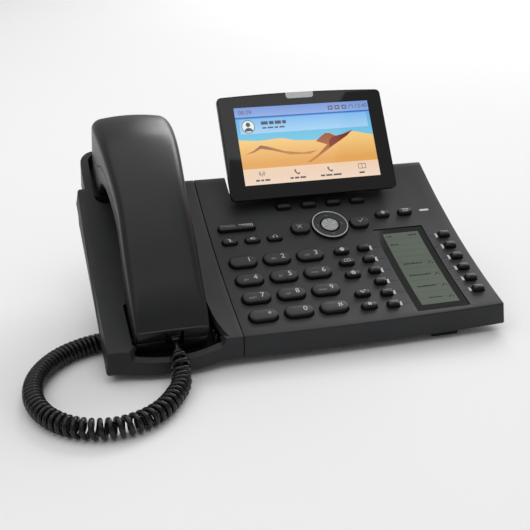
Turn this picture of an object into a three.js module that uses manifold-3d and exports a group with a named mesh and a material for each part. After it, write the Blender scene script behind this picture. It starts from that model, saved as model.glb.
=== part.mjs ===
// Desk IP phone: a wedge-shaped desk set with a tilting colour display, a label
// display with function keys, a corded handset in its cradle and a clip-in foot.
//
// Millimetres, +Z up, +X to the phone's right, +Y to its back. The origin is on the
// table, at the centre of the phone's footprint box. Most of the phone is drawn in
// the face frame: x from the left side, y up the face from its front edge and z out
// of the face, with the flat chord of the hollowed face at z = 0.

import * as THREE from 'three';
import { mergeVertices } from 'three/addons/utils/BufferGeometryUtils.js';
import Module from 'manifold-3d';

const wasm = await Module();
wasm.setup();

// ---------------------------------------------------------------- driving sizes

const FACE_WIDTH = 242;
const FACE_LENGTH = 141.3;
const FACE_SAG = 5.07;
const FACE_TILT = THREE.MathUtils.degToRad(23.5);
const FRONT_HEIGHT = 18.5;
const FRONT_SKIRT = 13.2;
const REAR_SKIRT = 10.5;
const SEAM_X = 76.8;
const WALL = 2.2;
const GAP = 0.3;
const CENTRE = new THREE.Vector2(121, 79.68);

const CRADLE_BULGE = { from: 8, to: 64, sag: 4.3 };
const PLATE_BULGE = { from: SEAM_X, to: FACE_WIDTH, sag: 1.5 };

const SIDE_FLARE = 1.3;

const NOTCH = { x0: 98, x1: 210.5, y: 123.5, floor: -11.3 };
const HINGE = { y: 130, z: -5, barrel: 4.2, pin: 2, ear: 4.9, x0: 124, x1: 184 };
const EAR_THICK = 7.5;

const DISPLAY = { x: 95.6, y: 109.9, z: 4.5, w: 116.2, h: 71.2, tilt: 33.2, arch: 1.5 };
const LCD = { x0: 185.3, x1: 220, y0: 2.7, y1: 80.3 };
const MODULE_WELL = { x0: 8, x1: 108, y0: 7, y1: 63.5, floor: -9 };
const LIGHT = { x0: 48.1, x1: 67.5, y: 68.2, depth: 3.6 };
const ARM = { front: 1.2, back: 5, top: -9 };

const HANDSET_X = 37;
const TONGUE = { x0: 4.8, x1: 66, y0: 137, y1: 171.5, depth: 13 };
const MOUTH_POCKET = { x0: 12.6, x1: 62.5, y0: 1.2, y1: 40, floor: -10.5 };
const EAR_POCKET = { x0: 10, x1: 63.5, y0: 126, y1: 169.2, floor: -5.5 };
const LIP_TOP = -4;
const HOOK = { x0: 31, x1: 43, y0: 138, y1: 151, top: -5.1, bottom: -11 };

const CORD_RADIUS = 5.8;
const LEAD_RADIUS = 1.6;
const BASE_JACK = { x: 31, y: 60, width: 8.8 };
const HANDSET_JACK = { x: 38.2, z: -0.7, width: 9.8, height: 12.2, depth: 9 };
const PLUG = { width: 7.6, height: 6.6, bootWidth: 6, bootHeight: 5.4, neckWidth: 4.4, neckHeight: 4.2 };
const HANDSET_PLUG = { neck: 3.3, boot: 7.7, end: 19.7 };
const BASE_PLUG = { neck: -28, boot: -19.9, end: -10 };

const BOARD = { x0: 80, x1: 236, y0: 6, y1: 112, z0: -13.4, z1: -11.8 };
const SPEAKER = { x: 37, y: 86, radius: 17, magnet: 9, bottom: -15.4, basket: -11.5, top: -8.4 };
const FEET = [
  { x0: 2, x1: 12, y: 10.5, top: 7.4 },
  { x0: 197, x1: 213.6, y: 4.5, top: 6.4 },
];
const FOOT_DEPTH = 8;
const STAND = { x0: 70, x1: 188, cheek: 3.5, front: 96, plate: 124, back: 128, toe: 142, thick: 4 };

// ---------------------------------------------------------------- materials

const plastic = (color, roughness = 0.62) =>
  new THREE.MeshStandardMaterial({ color, roughness, metalness: 0 });

const CHARCOAL = plastic(0x2d2e30);
const CHARCOAL_FACE = plastic(0x333437, 0.66);
const KEY_BLACK = plastic(0x1c1d1f, 0.5);
const HANDSET_BLACK = plastic(0x2a2b2d, 0.48);
const GLOSS_BLACK = plastic(0x101113, 0.08);
const CORD_BLACK = plastic(0x0c0c0d, 0.25);
const BOARD_GREEN = plastic(0x1d5b3a, 0.5);
const LIGHT_WHITE = plastic(0xe6e6e4, 0.35);
const LCD_GREY = plastic(0x6f7a70, 0.2);
const CLEAR_PLUG = plastic(0x3a3a3a, 0.15);
const SILVER = new THREE.MeshStandardMaterial({ color: 0xc4c6c8, roughness: 0.3, metalness: 0.9 });
const STEEL = new THREE.MeshStandardMaterial({ color: 0x8c8f92, roughness: 0.4, metalness: 0.8 });

// ---------------------------------------------------------------- solids

// Turns any closed geometry into a solid with its faces pointing out.
function toSolid(geometry) {
  const bare = geometry.clone();
  bare.deleteAttribute('normal');
  bare.deleteAttribute('uv');
  const merged = mergeVertices(bare, 1e-4);
  const vertProperties = new Float32Array(merged.attributes.position.array);
  const triVerts = new Uint32Array(merged.index.array);
  const build = () => new wasm.Manifold(new wasm.Mesh({ numProp: 3, vertProperties, triVerts }));
  const solid = build();
  if (solid.volume() > 0) return solid;
  for (let i = 0; i < triVerts.length; i += 3) {
    [triVerts[i], triVerts[i + 1]] = [triVerts[i + 1], triVerts[i]];
  }
  return build();
}

function toGeometry(solid) {
  const { vertProperties, triVerts } = solid.getMesh();
  const geometry = new THREE.BufferGeometry();
  geometry.setAttribute('position', new THREE.BufferAttribute(new Float32Array(vertProperties), 3));
  geometry.setIndex(new THREE.BufferAttribute(new Uint32Array(triVerts), 1));
  geometry.computeVertexNormals();
  return geometry;
}

// Joins closed rings of equal point count, one after another, and caps both ends.
function loft(rings) {
  const count = rings[0].length;
  const positions = rings.flat().flatMap((p) => [p.x, p.y, p.z]);
  const index = [];
  for (let r = 0; r < rings.length - 1; r += 1) {
    for (let i = 0; i < count; i += 1) {
      const a = r * count + i;
      const b = r * count + ((i + 1) % count);
      index.push(a, b, b + count, a, b + count, a + count);
    }
  }
  const capTriangles = (ring) => {
    const normal = new THREE.Vector3();
    ring.forEach((p, i) => normal.add(p.clone().cross(ring[(i + 1) % count])));
    const turn = new THREE.Quaternion().setFromUnitVectors(normal.normalize(), new THREE.Vector3(0, 0, 1));
    const flat = ring.map((p) => p.clone().applyQuaternion(turn)).map((p) => new THREE.Vector2(p.x, p.y));
    return THREE.ShapeUtils.triangulateShape(flat, []);
  };
  const last = (rings.length - 1) * count;
  capTriangles(rings[0]).forEach(([a, b, c]) => index.push(a, c, b));
  capTriangles(rings[rings.length - 1]).forEach(([a, b, c]) => index.push(last + a, last + b, last + c));
  const geometry = new THREE.BufferGeometry();
  geometry.setAttribute('position', new THREE.Float32BufferAttribute(positions, 3));
  geometry.setIndex(index);
  return toSolid(geometry);
}

function box(x0, x1, y0, y1, z0, z1) {
  const geometry = new THREE.BoxGeometry(x1 - x0, y1 - y0, z1 - z0);
  return toSolid(geometry.translate((x0 + x1) / 2, (y0 + y1) / 2, (z0 + z1) / 2));
}

function cylinderAlongX(x0, x1, y, z, radius, sides = 24) {
  const geometry = new THREE.CylinderGeometry(radius, radius, x1 - x0, sides);
  return toSolid(geometry.rotateZ(Math.PI / 2).translate((x0 + x1) / 2, y, z));
}

function uprightCylinder(x, y, z0, z1, radius, sides = 32) {
  const geometry = new THREE.CylinderGeometry(radius, radius, z1 - z0, sides);
  return toSolid(geometry.rotateX(Math.PI / 2).translate(x, y, (z0 + z1) / 2));
}

// Points of a rounded rectangle, a few to each corner.
function roundedRing(cx, cy, w, d, radius, z, steps = 2) {
  const r = Math.max(Math.min(radius, w / 2, d / 2), 0.05);
  const corners = [[1, 1], [-1, 1], [-1, -1], [1, -1]];
  return corners.flatMap(([sx, sy], corner) => Array.from({ length: steps + 1 }, (_, i) => {
    const angle = (corner + i / steps) * Math.PI / 2;
    return new THREE.Vector3(
      cx + sx * (w / 2 - r) + r * Math.cos(angle),
      cy + sy * (d / 2 - r) + r * Math.sin(angle),
      z,
    );
  }));
}

const roundedBlock = (x0, x1, y0, y1, z0, z1, radius, steps = 3) => loft([z0, z1].map((z) =>
  roundedRing((x0 + x1) / 2, (y0 + y1) / 2, x1 - x0, y1 - y0, radius, z, steps)));

// A flat outline in the y-z plane, drawn out between two x positions.
const profileBlock = (outline, x0, x1) =>
  loft([x0, x1].map((x) => outline.map(([y, z]) => new THREE.Vector3(x, y, z))));

// ---------------------------------------------------------------- the face

const faceZ = (y) => -4 * FACE_SAG * (y / FACE_LENGTH) * (1 - y / FACE_LENGTH);
const bulge = ({ from, to, sag }, x) => {
  const t = (2 * x - from - to) / (to - from);
  return Math.abs(t) < 1 ? -sag * (1 - t * t) : 0;
};
const frontY = (x) => bulge(CRADLE_BULGE, x) + bulge(PLATE_BULGE, x);

// The point a given drop straight down, towards the table, from a point of the face.
const plumb = (y, z, drop) => [y - drop * Math.sin(FACE_TILT), z - drop * Math.cos(FACE_TILT)];

const FACE_STEPS = 9;

// The outline of the casing at one x: the hollowed face above and plumb walls at the
// front and the back. inset thins it for the inside, and extra lengthens the walls.
function casingRing(x, inset, extra) {
  const front = frontY(x) + inset;
  const back = FACE_LENGTH - inset;
  const top = Array.from({ length: FACE_STEPS + 1 }, (_, i) => {
    const y = front + (back - front) * i / FACE_STEPS;
    return [y, faceZ(y) - inset];
  });
  const outline = [
    ...top,
    plumb(back, 0, REAR_SKIRT + extra),
    plumb(front, 0, FRONT_SKIRT + extra),
  ];
  const flare = (z) => {
    if (z > -WALL - FACE_SAG) return 0;
    if (x < SEAM_X / 2) return x <= WALL ? -SIDE_FLARE : 0;
    return x >= FACE_WIDTH - WALL ? SIDE_FLARE : 0;
  };
  return outline.map(([y, z], i) => new THREE.Vector3(x + (i > FACE_STEPS ? flare(z) : 0), y, z));
}

const casing = (stations, inset = 0, extra = 0) =>
  loft(stations.map((x) => casingRing(x, inset, extra)));

const spread = (from, to, steps) =>
  Array.from({ length: steps + 1 }, (_, i) => from + (to - from) * i / steps);

// ---------------------------------------------------------------- keys

// Each key: name, centre, width, depth and height above the face.
const NUMBER_NAMES = ['1', '2', '3', '4', '5', '6', '7', '8', '9', 'star', '0', 'hash'];
const numberKeys = NUMBER_NAMES.map((label, i) => ({
  name: `key_${label}`,
  x: 92.1 + 21.85 * (i % 3),
  y: 62.5 - 16 * Math.floor(i / 3),
  w: 17.6,
  d: 9.4,
  h: 2.5,
  steps: 3,
}));
const smallKey = (name, x, y, size) => ({ name, x, y, w: 9.8, d: 4.8, h: 2.8, steps: 2, ...size });
const softKeys = [131, 148.3, 165.7, 183].map((x, i) =>
  smallKey(`soft_key_${i + 1}`, x, 108.2, { w: 10, d: 4.2, h: 3.2 }));
const audioKeys = ['mute_key', 'speaker_key', 'headset_key'].map((name, i) =>
  smallKey(name, 88.2 + 14.8 * i, 81.4, { h: 2.2 }));
const serviceKeys = [
  smallKey('dnd_key', 157.1, 63),
  smallKey('directory_key', 157.2, 52.5),
  smallKey('menu_key', 157.2, 41),
  smallKey('transfer_key', 157.1, 23.2),
  smallKey('hold_key', 157.2, 11.8),
  smallKey('record_key', 196.1, 93),
  smallKey('message_key', 212.5, 93.3),
];
const FUNCTION_KEY = { w: 7.4, d: 4.6, radius: 1.3 };
const functionKeys = [1, 2, 3, 4, 5, 6].flatMap((row) => [
  smallKey(`function_key_left_${row}`, 172.4, 74.8 - 10.63 * row, FUNCTION_KEY),
  smallKey(`function_key_right_${row}`, 231.4, 79.7 - 10.63 * row, FUNCTION_KEY),
]);
const plainKeys = [...numberKeys, ...softKeys, ...audioKeys, ...serviceKeys, ...functionKeys];

const NAV = { x: 157.1, y: 87.7, outer: 12.1, inner: 6.3, button: 5.7, h: 2.4 };
const SIDE_KEY = { y: 87.3, w: 12.4, d: 9.2, h: 2.8, steps: 3, hollow: NAV.outer + 2.2 };
const cancelKey = { name: 'cancel_key', x: NAV.x - 20.4, ...SIDE_KEY };
const confirmKey = { name: 'confirm_key', x: NAV.x + 20.4, ...SIDE_KEY };
const volumeRocker = { name: 'volume_rocker', x: 95.5, y: 93.2, w: 24.5, d: 4.8, h: 2.6, steps: 3 };

const KEY_ROOT = 5;
const KEY_EDGE = 0.7;
const HOLE_GAP = 0.35;

function keySolid({ x, y, w, d, h, steps, hollow, radius = d / 2 }) {
  const top = faceZ(y) + h;
  const ring = (inset, z) => roundedRing(x, y, w - 2 * inset, d - 2 * inset, radius - inset, z, steps);
  const cap = loft([ring(0, faceZ(y) - KEY_ROOT), ring(0, top - KEY_EDGE), ring(KEY_EDGE, top)]);
  if (!hollow) return cap;
  return cap.subtract(uprightCylinder(NAV.x, NAV.y, -20, 20, hollow));
}

function keyHole({ x, y, w, d, steps, hollow, radius = d / 2 }) {
  const grown = [-20, 10].map((z) =>
    roundedRing(x, y, w + 2 * HOLE_GAP, d + 2 * HOLE_GAP, radius + HOLE_GAP, z, steps));
  const hole = loft(grown);
  if (!hollow) return hole;
  return hole.subtract(uprightCylinder(NAV.x, NAV.y, -21, 11, hollow - HOLE_GAP));
}

// ---------------------------------------------------------------- casing parts

function topCover() {
  const stations = spread(SEAM_X + GAP / 2, FACE_WIDTH, 6);
  const inside = casing([SEAM_X - 1, ...stations.slice(1, -1), FACE_WIDTH - WALL], WALL, 2);
  const notchWall = box(NOTCH.x0 - WALL, NOTCH.x1 + WALL, NOTCH.y - WALL, 160, -40, 20);
  const notch = box(NOTCH.x0, NOTCH.x1, NOTCH.y, 160, -40, 20);
  const window = box(LCD.x0, LCD.x1, LCD.y0, LCD.y1, -20, 10);
  const navHole = uprightCylinder(NAV.x, NAV.y, -20, 10, NAV.outer + HOLE_GAP + 0.1);
  const holes = [...plainKeys, cancelKey, confirmKey, volumeRocker].map(keyHole);
  return [notch, window, navHole, ...holes].reduce(
    (cover, hole) => cover.subtract(hole),
    casing(stations).subtract(inside.subtract(notchWall)),
  );
}

// The plan outline of the tongue that carries the handset's ear end behind the face.
const tongueBlock = (inset, z0, z1) => roundedBlock(
  TONGUE.x0 + inset, TONGUE.x1 - inset, 100, TONGUE.y1 - inset, z0, z1, 10 - inset, 4)
  .intersect(box(0, 90, TONGUE.y0, 200, -60, 60));

// Everything under the hollowed face, carried on past its back edge.
function underFace(drop) {
  const outline = spread(90, 180, 10).map((y) => [y, faceZ(y) - drop]);
  return profileBlock([...outline, [180, -60], [90, -60]], -5, 90);
}

function cradleCover() {
  const stations = [0, 4, ...spread(CRADLE_BULGE.from, CRADLE_BULGE.to, 8), 70, SEAM_X - GAP / 2];
  const body = casing(stations).add(tongueBlock(0, -TONGUE.depth, 12).intersect(underFace(0)));
  const insideStations = [WALL, 4, ...spread(CRADLE_BULGE.from, CRADLE_BULGE.to, 8), 70, SEAM_X + 1];
  const inside = casing(insideStations, WALL, 2)
    .add(tongueBlock(WALL, -TONGUE.depth - 2, 12).intersect(underFace(WALL)));
  const { x0, x1, y0, y1, floor } = MOUTH_POCKET;
  const mouth = (grow) => {
    const outline = [
      [y0 - grow, 12],
      [y0 - grow, floor - grow],
      [y1 - 12, floor - grow],
      [y1 + 6 + grow, faceZ(y1) + 0.5],
      [y1 + 6 + grow, 12],
    ];
    return profileBlock(outline, x0 - grow, x1 + grow);
  };
  const ear = (grow) => roundedBlock(
    EAR_POCKET.x0 - grow, EAR_POCKET.x1 + grow, EAR_POCKET.y0 - grow, EAR_POCKET.y1 + grow,
    EAR_POCKET.floor - grow, 20, 7 + grow, 4);
  const lipCut = box(x0, x1 + 3, -30, y0 + 6, LIP_TOP, 20);
  const hollow = inside.subtract(mouth(WALL)).subtract(ear(WALL));
  const hookSlot = box(HOOK.x0 - GAP, HOOK.x1 + GAP, HOOK.y0 - GAP, HOOK.y1 + GAP, -30, 10);
  return body.subtract(hollow).subtract(mouth(0)).subtract(ear(0)).subtract(lipCut)
    .subtract(hookSlot);
}

// The base tray hangs under both covers, GAP below their walls.
const BELLY = { front: [4, -16], back: [133, -24] };

function baseRing(x, inset) {
  const front = frontY(x);
  const [frontRimY, frontRimZ] = plumb(front, 0, FRONT_SKIRT + GAP);
  const [backRimY, backRimZ] = plumb(FACE_LENGTH, 0, REAR_SKIRT + GAP);
  const lift = inset > 0 ? 4 : 0;
  return [
    [frontRimY + 0.8 + inset, frontRimZ + lift],
    [BELLY.front[0] + inset, BELLY.front[1] + inset],
    [BELLY.back[0] - inset, BELLY.back[1] + inset],
    [backRimY - 0.8 - inset, backRimZ + lift],
  ].map(([y, z]) => new THREE.Vector3(x, y, z));
}

const baseBody = (stations, inset) => loft(stations.map((x) => baseRing(x, inset)));

function hingeEars() {
  const crown = spread(0, Math.PI, 8).map((a) =>
    [HINGE.y + HINGE.ear * Math.cos(a), HINGE.z + HINGE.ear * Math.sin(a)]);
  const outline = [
    [HINGE.y + HINGE.ear, NOTCH.floor - 1],
    ...crown,
    [HINGE.y - HINGE.ear, NOTCH.floor - 1],
  ];
  const left = profileBlock(outline, HINGE.x0 - GAP - EAR_THICK, HINGE.x0 - GAP);
  const right = profileBlock(outline, HINGE.x1 + GAP, HINGE.x1 + GAP + EAR_THICK);
  const bore = cylinderAlongX(100, 210, HINGE.y, HINGE.z, HINGE.pin + GAP, 20);
  return left.add(right).subtract(bore);
}

function baseCover() {
  const stations = [-0.4, ...spread(CRADLE_BULGE.from, CRADLE_BULGE.to, 8), SEAM_X, FACE_WIDTH + 0.4];
  const body = baseBody(stations, 0);
  const [first, last] = [stations[0] + WALL, FACE_WIDTH + 0.4 - WALL];
  const inside = baseBody([first, ...stations.slice(1, -1), last], WALL);
  const notch = box(NOTCH.x0, NOTCH.x1, NOTCH.y, 160, NOTCH.floor, 20);
  const notchWalls = box(
    NOTCH.x0 - WALL, NOTCH.x1 + WALL, NOTCH.y - WALL, 160, NOTCH.floor - WALL, 20);
  const plateTop = -TONGUE.depth - GAP;
  const tonguePlate = tongueBlock(0, plateTop - WALL, plateTop)
    .add(box(TONGUE.x0, TONGUE.x1, TONGUE.y0 - 6, TONGUE.y0 + 1, plateTop - WALL, plateTop));
  const reach = BASE_JACK.width / 2;
  const plugHole = box(
    BASE_JACK.x - reach, BASE_JACK.x + reach, BASE_JACK.y - reach, BASE_JACK.y + reach, -40, 0);
  const shell = body.subtract(inside.subtract(notchWalls)).subtract(notch)
    .add(tonguePlate).add(hingeEars()).subtract(plugHole);
  return FEET.map(frontFoot).reduce((base, foot) => base.add(foot), shell);
}

// The front feet stand plumb on the table under the tray's front edge.
function frontFoot({ x0, x1, y, top }) {
  const far = y + FOOT_DEPTH;
  const corners = [[y, 0], [far, 0], [far, top + 2.4], [y, top]].map(([ty, z]) => {
    const up = z - FRONT_HEIGHT;
    return [
      ty * Math.cos(FACE_TILT) + up * Math.sin(FACE_TILT),
      up * Math.cos(FACE_TILT) - ty * Math.sin(FACE_TILT),
    ];
  });
  return profileBlock(corners, x0, x1);
}

// ---------------------------------------------------------------- hook switch

// A lever in the floor of the ear pocket, held down under the handset's ear end.
function hookLever() {
  const back = HOOK.y1 - 0.4;
  const outline = [
    [HOOK.y0 + 0.4, HOOK.bottom],
    [back, HOOK.bottom],
    [back, HOOK.top - 1.3],
    [back - 2.1, HOOK.top],
    [HOOK.y0 + 5, HOOK.top],
    [HOOK.y0 + 1.2, HOOK.top - 1.4],
  ];
  return profileBlock(outline, HOOK.x0, HOOK.x1);
}

// ---------------------------------------------------------------- display

const displayPoint = (y, z) => {
  const tilt = THREE.MathUtils.degToRad(DISPLAY.tilt);
  const dy = y - DISPLAY.y;
  const dz = z - DISPLAY.z;
  return [
    dy * Math.cos(tilt) + dz * Math.sin(tilt),
    dz * Math.cos(tilt) - dy * Math.sin(tilt),
  ];
};

// The display's outline, with rounded corners, a bowed top edge and an even inset.
function displayRing(inset, z) {
  const radius = Math.max(3 - inset, 0.4);
  const ring = roundedRing(
    DISPLAY.w / 2, DISPLAY.h / 2, DISPLAY.w - 2 * inset, DISPLAY.h - 2 * inset, radius, z, 3);
  const bow = ({ x }) => 1 - ((2 * x) / DISPLAY.w - 1) ** 2;
  const topMiddle = [0.75, 0.5, 0.25].map((t) => new THREE.Vector3(
    inset + t * (DISPLAY.w - 2 * inset), DISPLAY.h - inset, z));
  const full = [...ring.slice(0, 4), ...topMiddle, ...ring.slice(4)];
  full.forEach((p) => {
    if (p.y > DISPLAY.h / 2) p.y += DISPLAY.arch * (bow(p) - 1) + DISPLAY.arch;
  });
  return full;
}

const lightBlock = (grow) => box(
  LIGHT.x0 - grow, LIGHT.x1 + grow, LIGHT.y - grow, DISPLAY.h + 6, -LIGHT.depth - grow, 6);

function displayBezel() {
  const outer = loft([displayRing(1.2, -4.6), displayRing(0, -3.2), displayRing(0, -0.5), displayRing(0.4, 0)]);
  const glassSeat = loft([displayRing(1.3, -1.8), displayRing(1.3, 3)]);
  const well = MODULE_WELL;
  const moduleWell = box(well.x0, well.x1, well.y0, well.y1, well.floor, 3);
  return outer.subtract(glassSeat).subtract(moduleWell).subtract(lightBlock(GAP));
}

const displayGlass = () =>
  loft([displayRing(1.6, -1.5), displayRing(1.6, -0.05)]).subtract(lightBlock(GAP));

const messageLight = () => lightBlock(0).intersect(loft([displayRing(0.2, -LIGHT.depth), displayRing(0.2, 0.1)]));

function displayRearCover() {
  const shell = loft([displayRing(9, -12), displayRing(6, -11.2), displayRing(1.6, -4.9)]);
  const [axisY, axisZ] = displayPoint(HINGE.y, HINGE.z);
  const localX = (x) => x - DISPLAY.x;
  const barrel = cylinderAlongX(localX(HINGE.x0), localX(HINGE.x1), axisY, axisZ, HINGE.barrel);
  const pins = cylinderAlongX(
    localX(HINGE.x0) - EAR_THICK, localX(HINGE.x1) + EAR_THICK, axisY, axisZ, HINGE.pin, 20);
  const arm = box(
    localX(HINGE.x0), localX(HINGE.x1), axisY - ARM.front, axisY + ARM.back, axisZ, ARM.top);
  const inside = loft([displayRing(8.5, -9.6), displayRing(4, -4.3)]);
  return shell.add(arm).add(barrel).add(pins).subtract(inside);
}

// The label display's window lies in the face, a little under its surface.
function lcdWindow() {
  const { x0, x1, y0, y1 } = LCD;
  const top = spread(y0 + GAP, y1 - GAP, 6).map((y) => [y, faceZ(y) - 0.5]);
  const bottom = spread(y1 - GAP, y0 + GAP, 6).map((y) => [y, faceZ(y) - 3.6]);
  return profileBlock([...top, ...bottom], x0 + GAP, x1 - GAP);
}

// ---------------------------------------------------------------- handset

// Along the handset: y, the height of its back edges, of its underside, its half
// width and how far its back is crowned.
const HANDSET_STATIONS = [
  [5.4, 5.5, -9.6, 20.6, 0.3],
  [8, 9.2, -9.8, 20.9, 0.5],
  [14, 13.6, -9.8, 21.1, 0.8],
  [24, 18.8, -9.6, 21.3, 1],
  [34, 23.8, -7.5, 21.3, 1.2],
  [43, 28.3, -1, 21.3, 1.5],
  [52, 32.8, 6.5, 21.2, 1.8],
  [62, 37.6, 13.5, 21, 2],
  [74, 42.2, 19.2, 20.9, 2.3],
  [88, 45.6, 22.6, 21.6, 2.6],
  [102, 47.4, 23, 22.5, 2.8],
  [114, 48, 20, 23.3, 3],
  [124, 47.7, 13, 23.9, 3.2],
  [131, 46.7, 2, 24.3, 3.3],
  [138, 45.2, -4, 24.7, 3.3],
  [150, 41.8, -4.6, 25, 3.3],
  [160, 37.8, -4.2, 24.6, 3.2],
  [165.5, 33.8, -2.5, 23.2, 2.8],
  [168.4, 28.5, 1, 20.8, 2],
];

// One cross-section of the handset: crowned back, rounded edges and a flat underside.
function handsetRing([y, back, under, half, crown], inset) {
  const w = half - inset;
  const top = back - inset;
  const bottom = under + inset;
  const r = Math.min(5, (top - bottom) / 2.2, w / 2);
  const arc = (cx, cz, from, radius) => [0, 1, 2, 3].map((i) => {
    const angle = from + (i / 3) * Math.PI / 2;
    return [cx + radius * Math.cos(angle), cz + radius * Math.sin(angle)];
  });
  const points = [
    ...arc(w - r, top - r, 0, r),
    ...[0.5, 0, -0.5].map((t) => [t * w, top]),
    ...arc(-(w - r), top - r, Math.PI / 2, r),
    ...arc(-(w - r), bottom + r, Math.PI, r),
    ...arc(w - r, bottom + r, 3 * Math.PI / 2, r),
  ];
  return points.map(([x, z]) => {
    const rise = z > (top + bottom) / 2 ? crown * Math.max(0, 1 - (x / w) ** 2) : 0;
    return new THREE.Vector3(HANDSET_X + x, y, z + rise);
  });
}

function handsetBody() {
  return loft(HANDSET_STATIONS.map((station) => handsetRing(station, 0)));
}

function handsetInside() {
  const inner = HANDSET_STATIONS.slice(1, -1).map((station) => handsetRing(station, WALL));
  return loft(inner);
}

// The parting surface runs half way up the handset's sides.
function aboveParting(shift) {
  const outline = HANDSET_STATIONS.map(([y, back, under]) => [y, (back + under) / 2 + shift]);
  const [firstY, firstZ] = outline[0];
  const [lastY, lastZ] = outline[outline.length - 1];
  return profileBlock([[firstY - 5, firstZ], ...outline, [lastY + 5, lastZ], [lastY + 5, 90],
    [firstY - 5, 90]], -5, 80);
}

function jackRecess() {
  const { x, z, width, height, depth } = HANDSET_JACK;
  return box(x - width / 2, x + width / 2, -10, HANDSET_STATIONS[0][0] + depth, z - height / 2, z + height / 2);
}

const handsetShell = () => handsetBody().subtract(handsetInside()).subtract(jackRecess());
const handsetBackShell = () => handsetShell().intersect(aboveParting(GAP / 2));
const handsetInnerShell = () => handsetShell().subtract(aboveParting(-GAP / 2));

// ---------------------------------------------------------------- cord

// A modular plug with its boot: outlines across it at the neck, the boot and the body.
const bootRings = (x, y, neck, boot) => [
  roundedRing(x, y, PLUG.neckWidth, PLUG.neckHeight, 1.4, neck),
  roundedRing(x, y, PLUG.bootWidth, PLUG.bootHeight, 1.2, boot),
];

// The handset's plug lies along the face's y axis, deep in its socket.
function handsetPlug() {
  const { x, z } = HANDSET_JACK;
  const [reach, rise] = [PLUG.width / 2, PLUG.height / 2];
  const body = box(x - reach, x + reach, HANDSET_PLUG.boot, HANDSET_PLUG.end, z - rise, z + rise);
  const laid = bootRings(x, 0, HANDSET_PLUG.neck, HANDSET_PLUG.boot).reverse().map((ring) => ring.map((p) => new THREE.Vector3(p.x, p.z, z + p.y)));
  return body.add(loft(laid));
}

// The same plug pushed up into the base.
function basePlug() {
  const { x, y } = BASE_JACK;
  const [reach, rise] = [PLUG.width / 2, PLUG.height / 2];
  const body = box(x - reach, x + reach, y - rise, y + rise, BASE_PLUG.boot, BASE_PLUG.end);
  return body.add(loft(bootRings(x, y, BASE_PLUG.neck, BASE_PLUG.boot)));
}

// The cord's centreline over the table, from the handset's plug to the base's plug,
// measured from the left end of the face's front edge.
const CORD_ROUTE = [
  [38.2, -7.3, 14.4],
  [37.9, -10.3, 12.6],
  [37.5, -14, 8.9],
  [36.8, -18.5, 6.6],
  [34.9, -24, 5.9],
  [31.2, -30.8, 5.9],
  [22.5, -43, 5.9],
  [10.8, -51.6, 5.9],
  [-2, -55, 5.9],
  [-14.5, -53.2, 5.9],
  [-26, -46.6, 5.9],
  [-34.6, -36, 5.9],
  [-39.7, -23, 5.9],
  [-41.1, -9.7, 5.9],
  [-38.8, 5, 5.9],
  [-32, 19.4, 5.9],
  [-21.6, 31, 5.9],
  [-9.7, 38.3, 5.9],
  [3, 42.6, 5.9],
  [14, 49, 6.1],
  [22.4, 57.6, 6.6],
  [28, 65, 8.2],
  [30.6, 68.1, 11],
  [31, 67.8, 13],
];

// A point of the face as a point over the table, measured the same way.
const overTable = (x, y, z) => new THREE.Vector3(
  x,
  y * Math.cos(FACE_TILT) - z * Math.sin(FACE_TILT),
  FRONT_HEIGHT + y * Math.sin(FACE_TILT) + z * Math.cos(FACE_TILT),
);

function rod(from, to, radius) {
  const along = to.clone().sub(from);
  const turn = new THREE.Quaternion().setFromUnitVectors(new THREE.Vector3(0, 1, 0), along.clone().normalize());
  const geometry = new THREE.CylinderGeometry(radius, radius, along.length(), 12);
  const middle = from.clone().add(to).multiplyScalar(0.5);
  return toSolid(geometry.applyQuaternion(turn).translate(middle.x, middle.y, middle.z));
}

// The coil as one tube of its outer width, and the straight lead into the handset's plug.
function curlyCord() {
  const end = overTable(BASE_JACK.x, BASE_JACK.y, BASE_PLUG.neck - GAP);
  const points = CORD_ROUTE.map((p) => new THREE.Vector3(...p));
  const path = new THREE.CatmullRomCurve3([...points, end], false, 'centripetal');
  const section = new THREE.Shape(spread(0, 11, 11).map((i) => new THREE.Vector2(
    CORD_RADIUS * Math.cos(i * Math.PI / 6), CORD_RADIUS * Math.sin(i * Math.PI / 6))));
  const coil = toSolid(
    new THREE.ExtrudeGeometry(section, { steps: 46, bevelEnabled: false, extrudePath: path }));
  const plugEnd = overTable(HANDSET_JACK.x, HANDSET_PLUG.neck - GAP, HANDSET_JACK.z);
  return coil.add(rod(plugEnd, path.getPointAt(0.004), LEAD_RADIUS));
}

// ---------------------------------------------------------------- inner parts

const mainBoard = () => box(BOARD.x0, BOARD.x1, BOARD.y0, BOARD.y1, BOARD.z0, BOARD.z1);

function loudspeaker() {
  const { x, y, radius, magnet: magnetRadius, bottom, basket: seat, top } = SPEAKER;
  const magnet = uprightCylinder(x, y, bottom, seat + 0.1, magnetRadius, 20);
  const basket = uprightCylinder(x, y, seat, top, radius, 24);
  return magnet.add(basket);
}

// ---------------------------------------------------------------- foot stand

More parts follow.
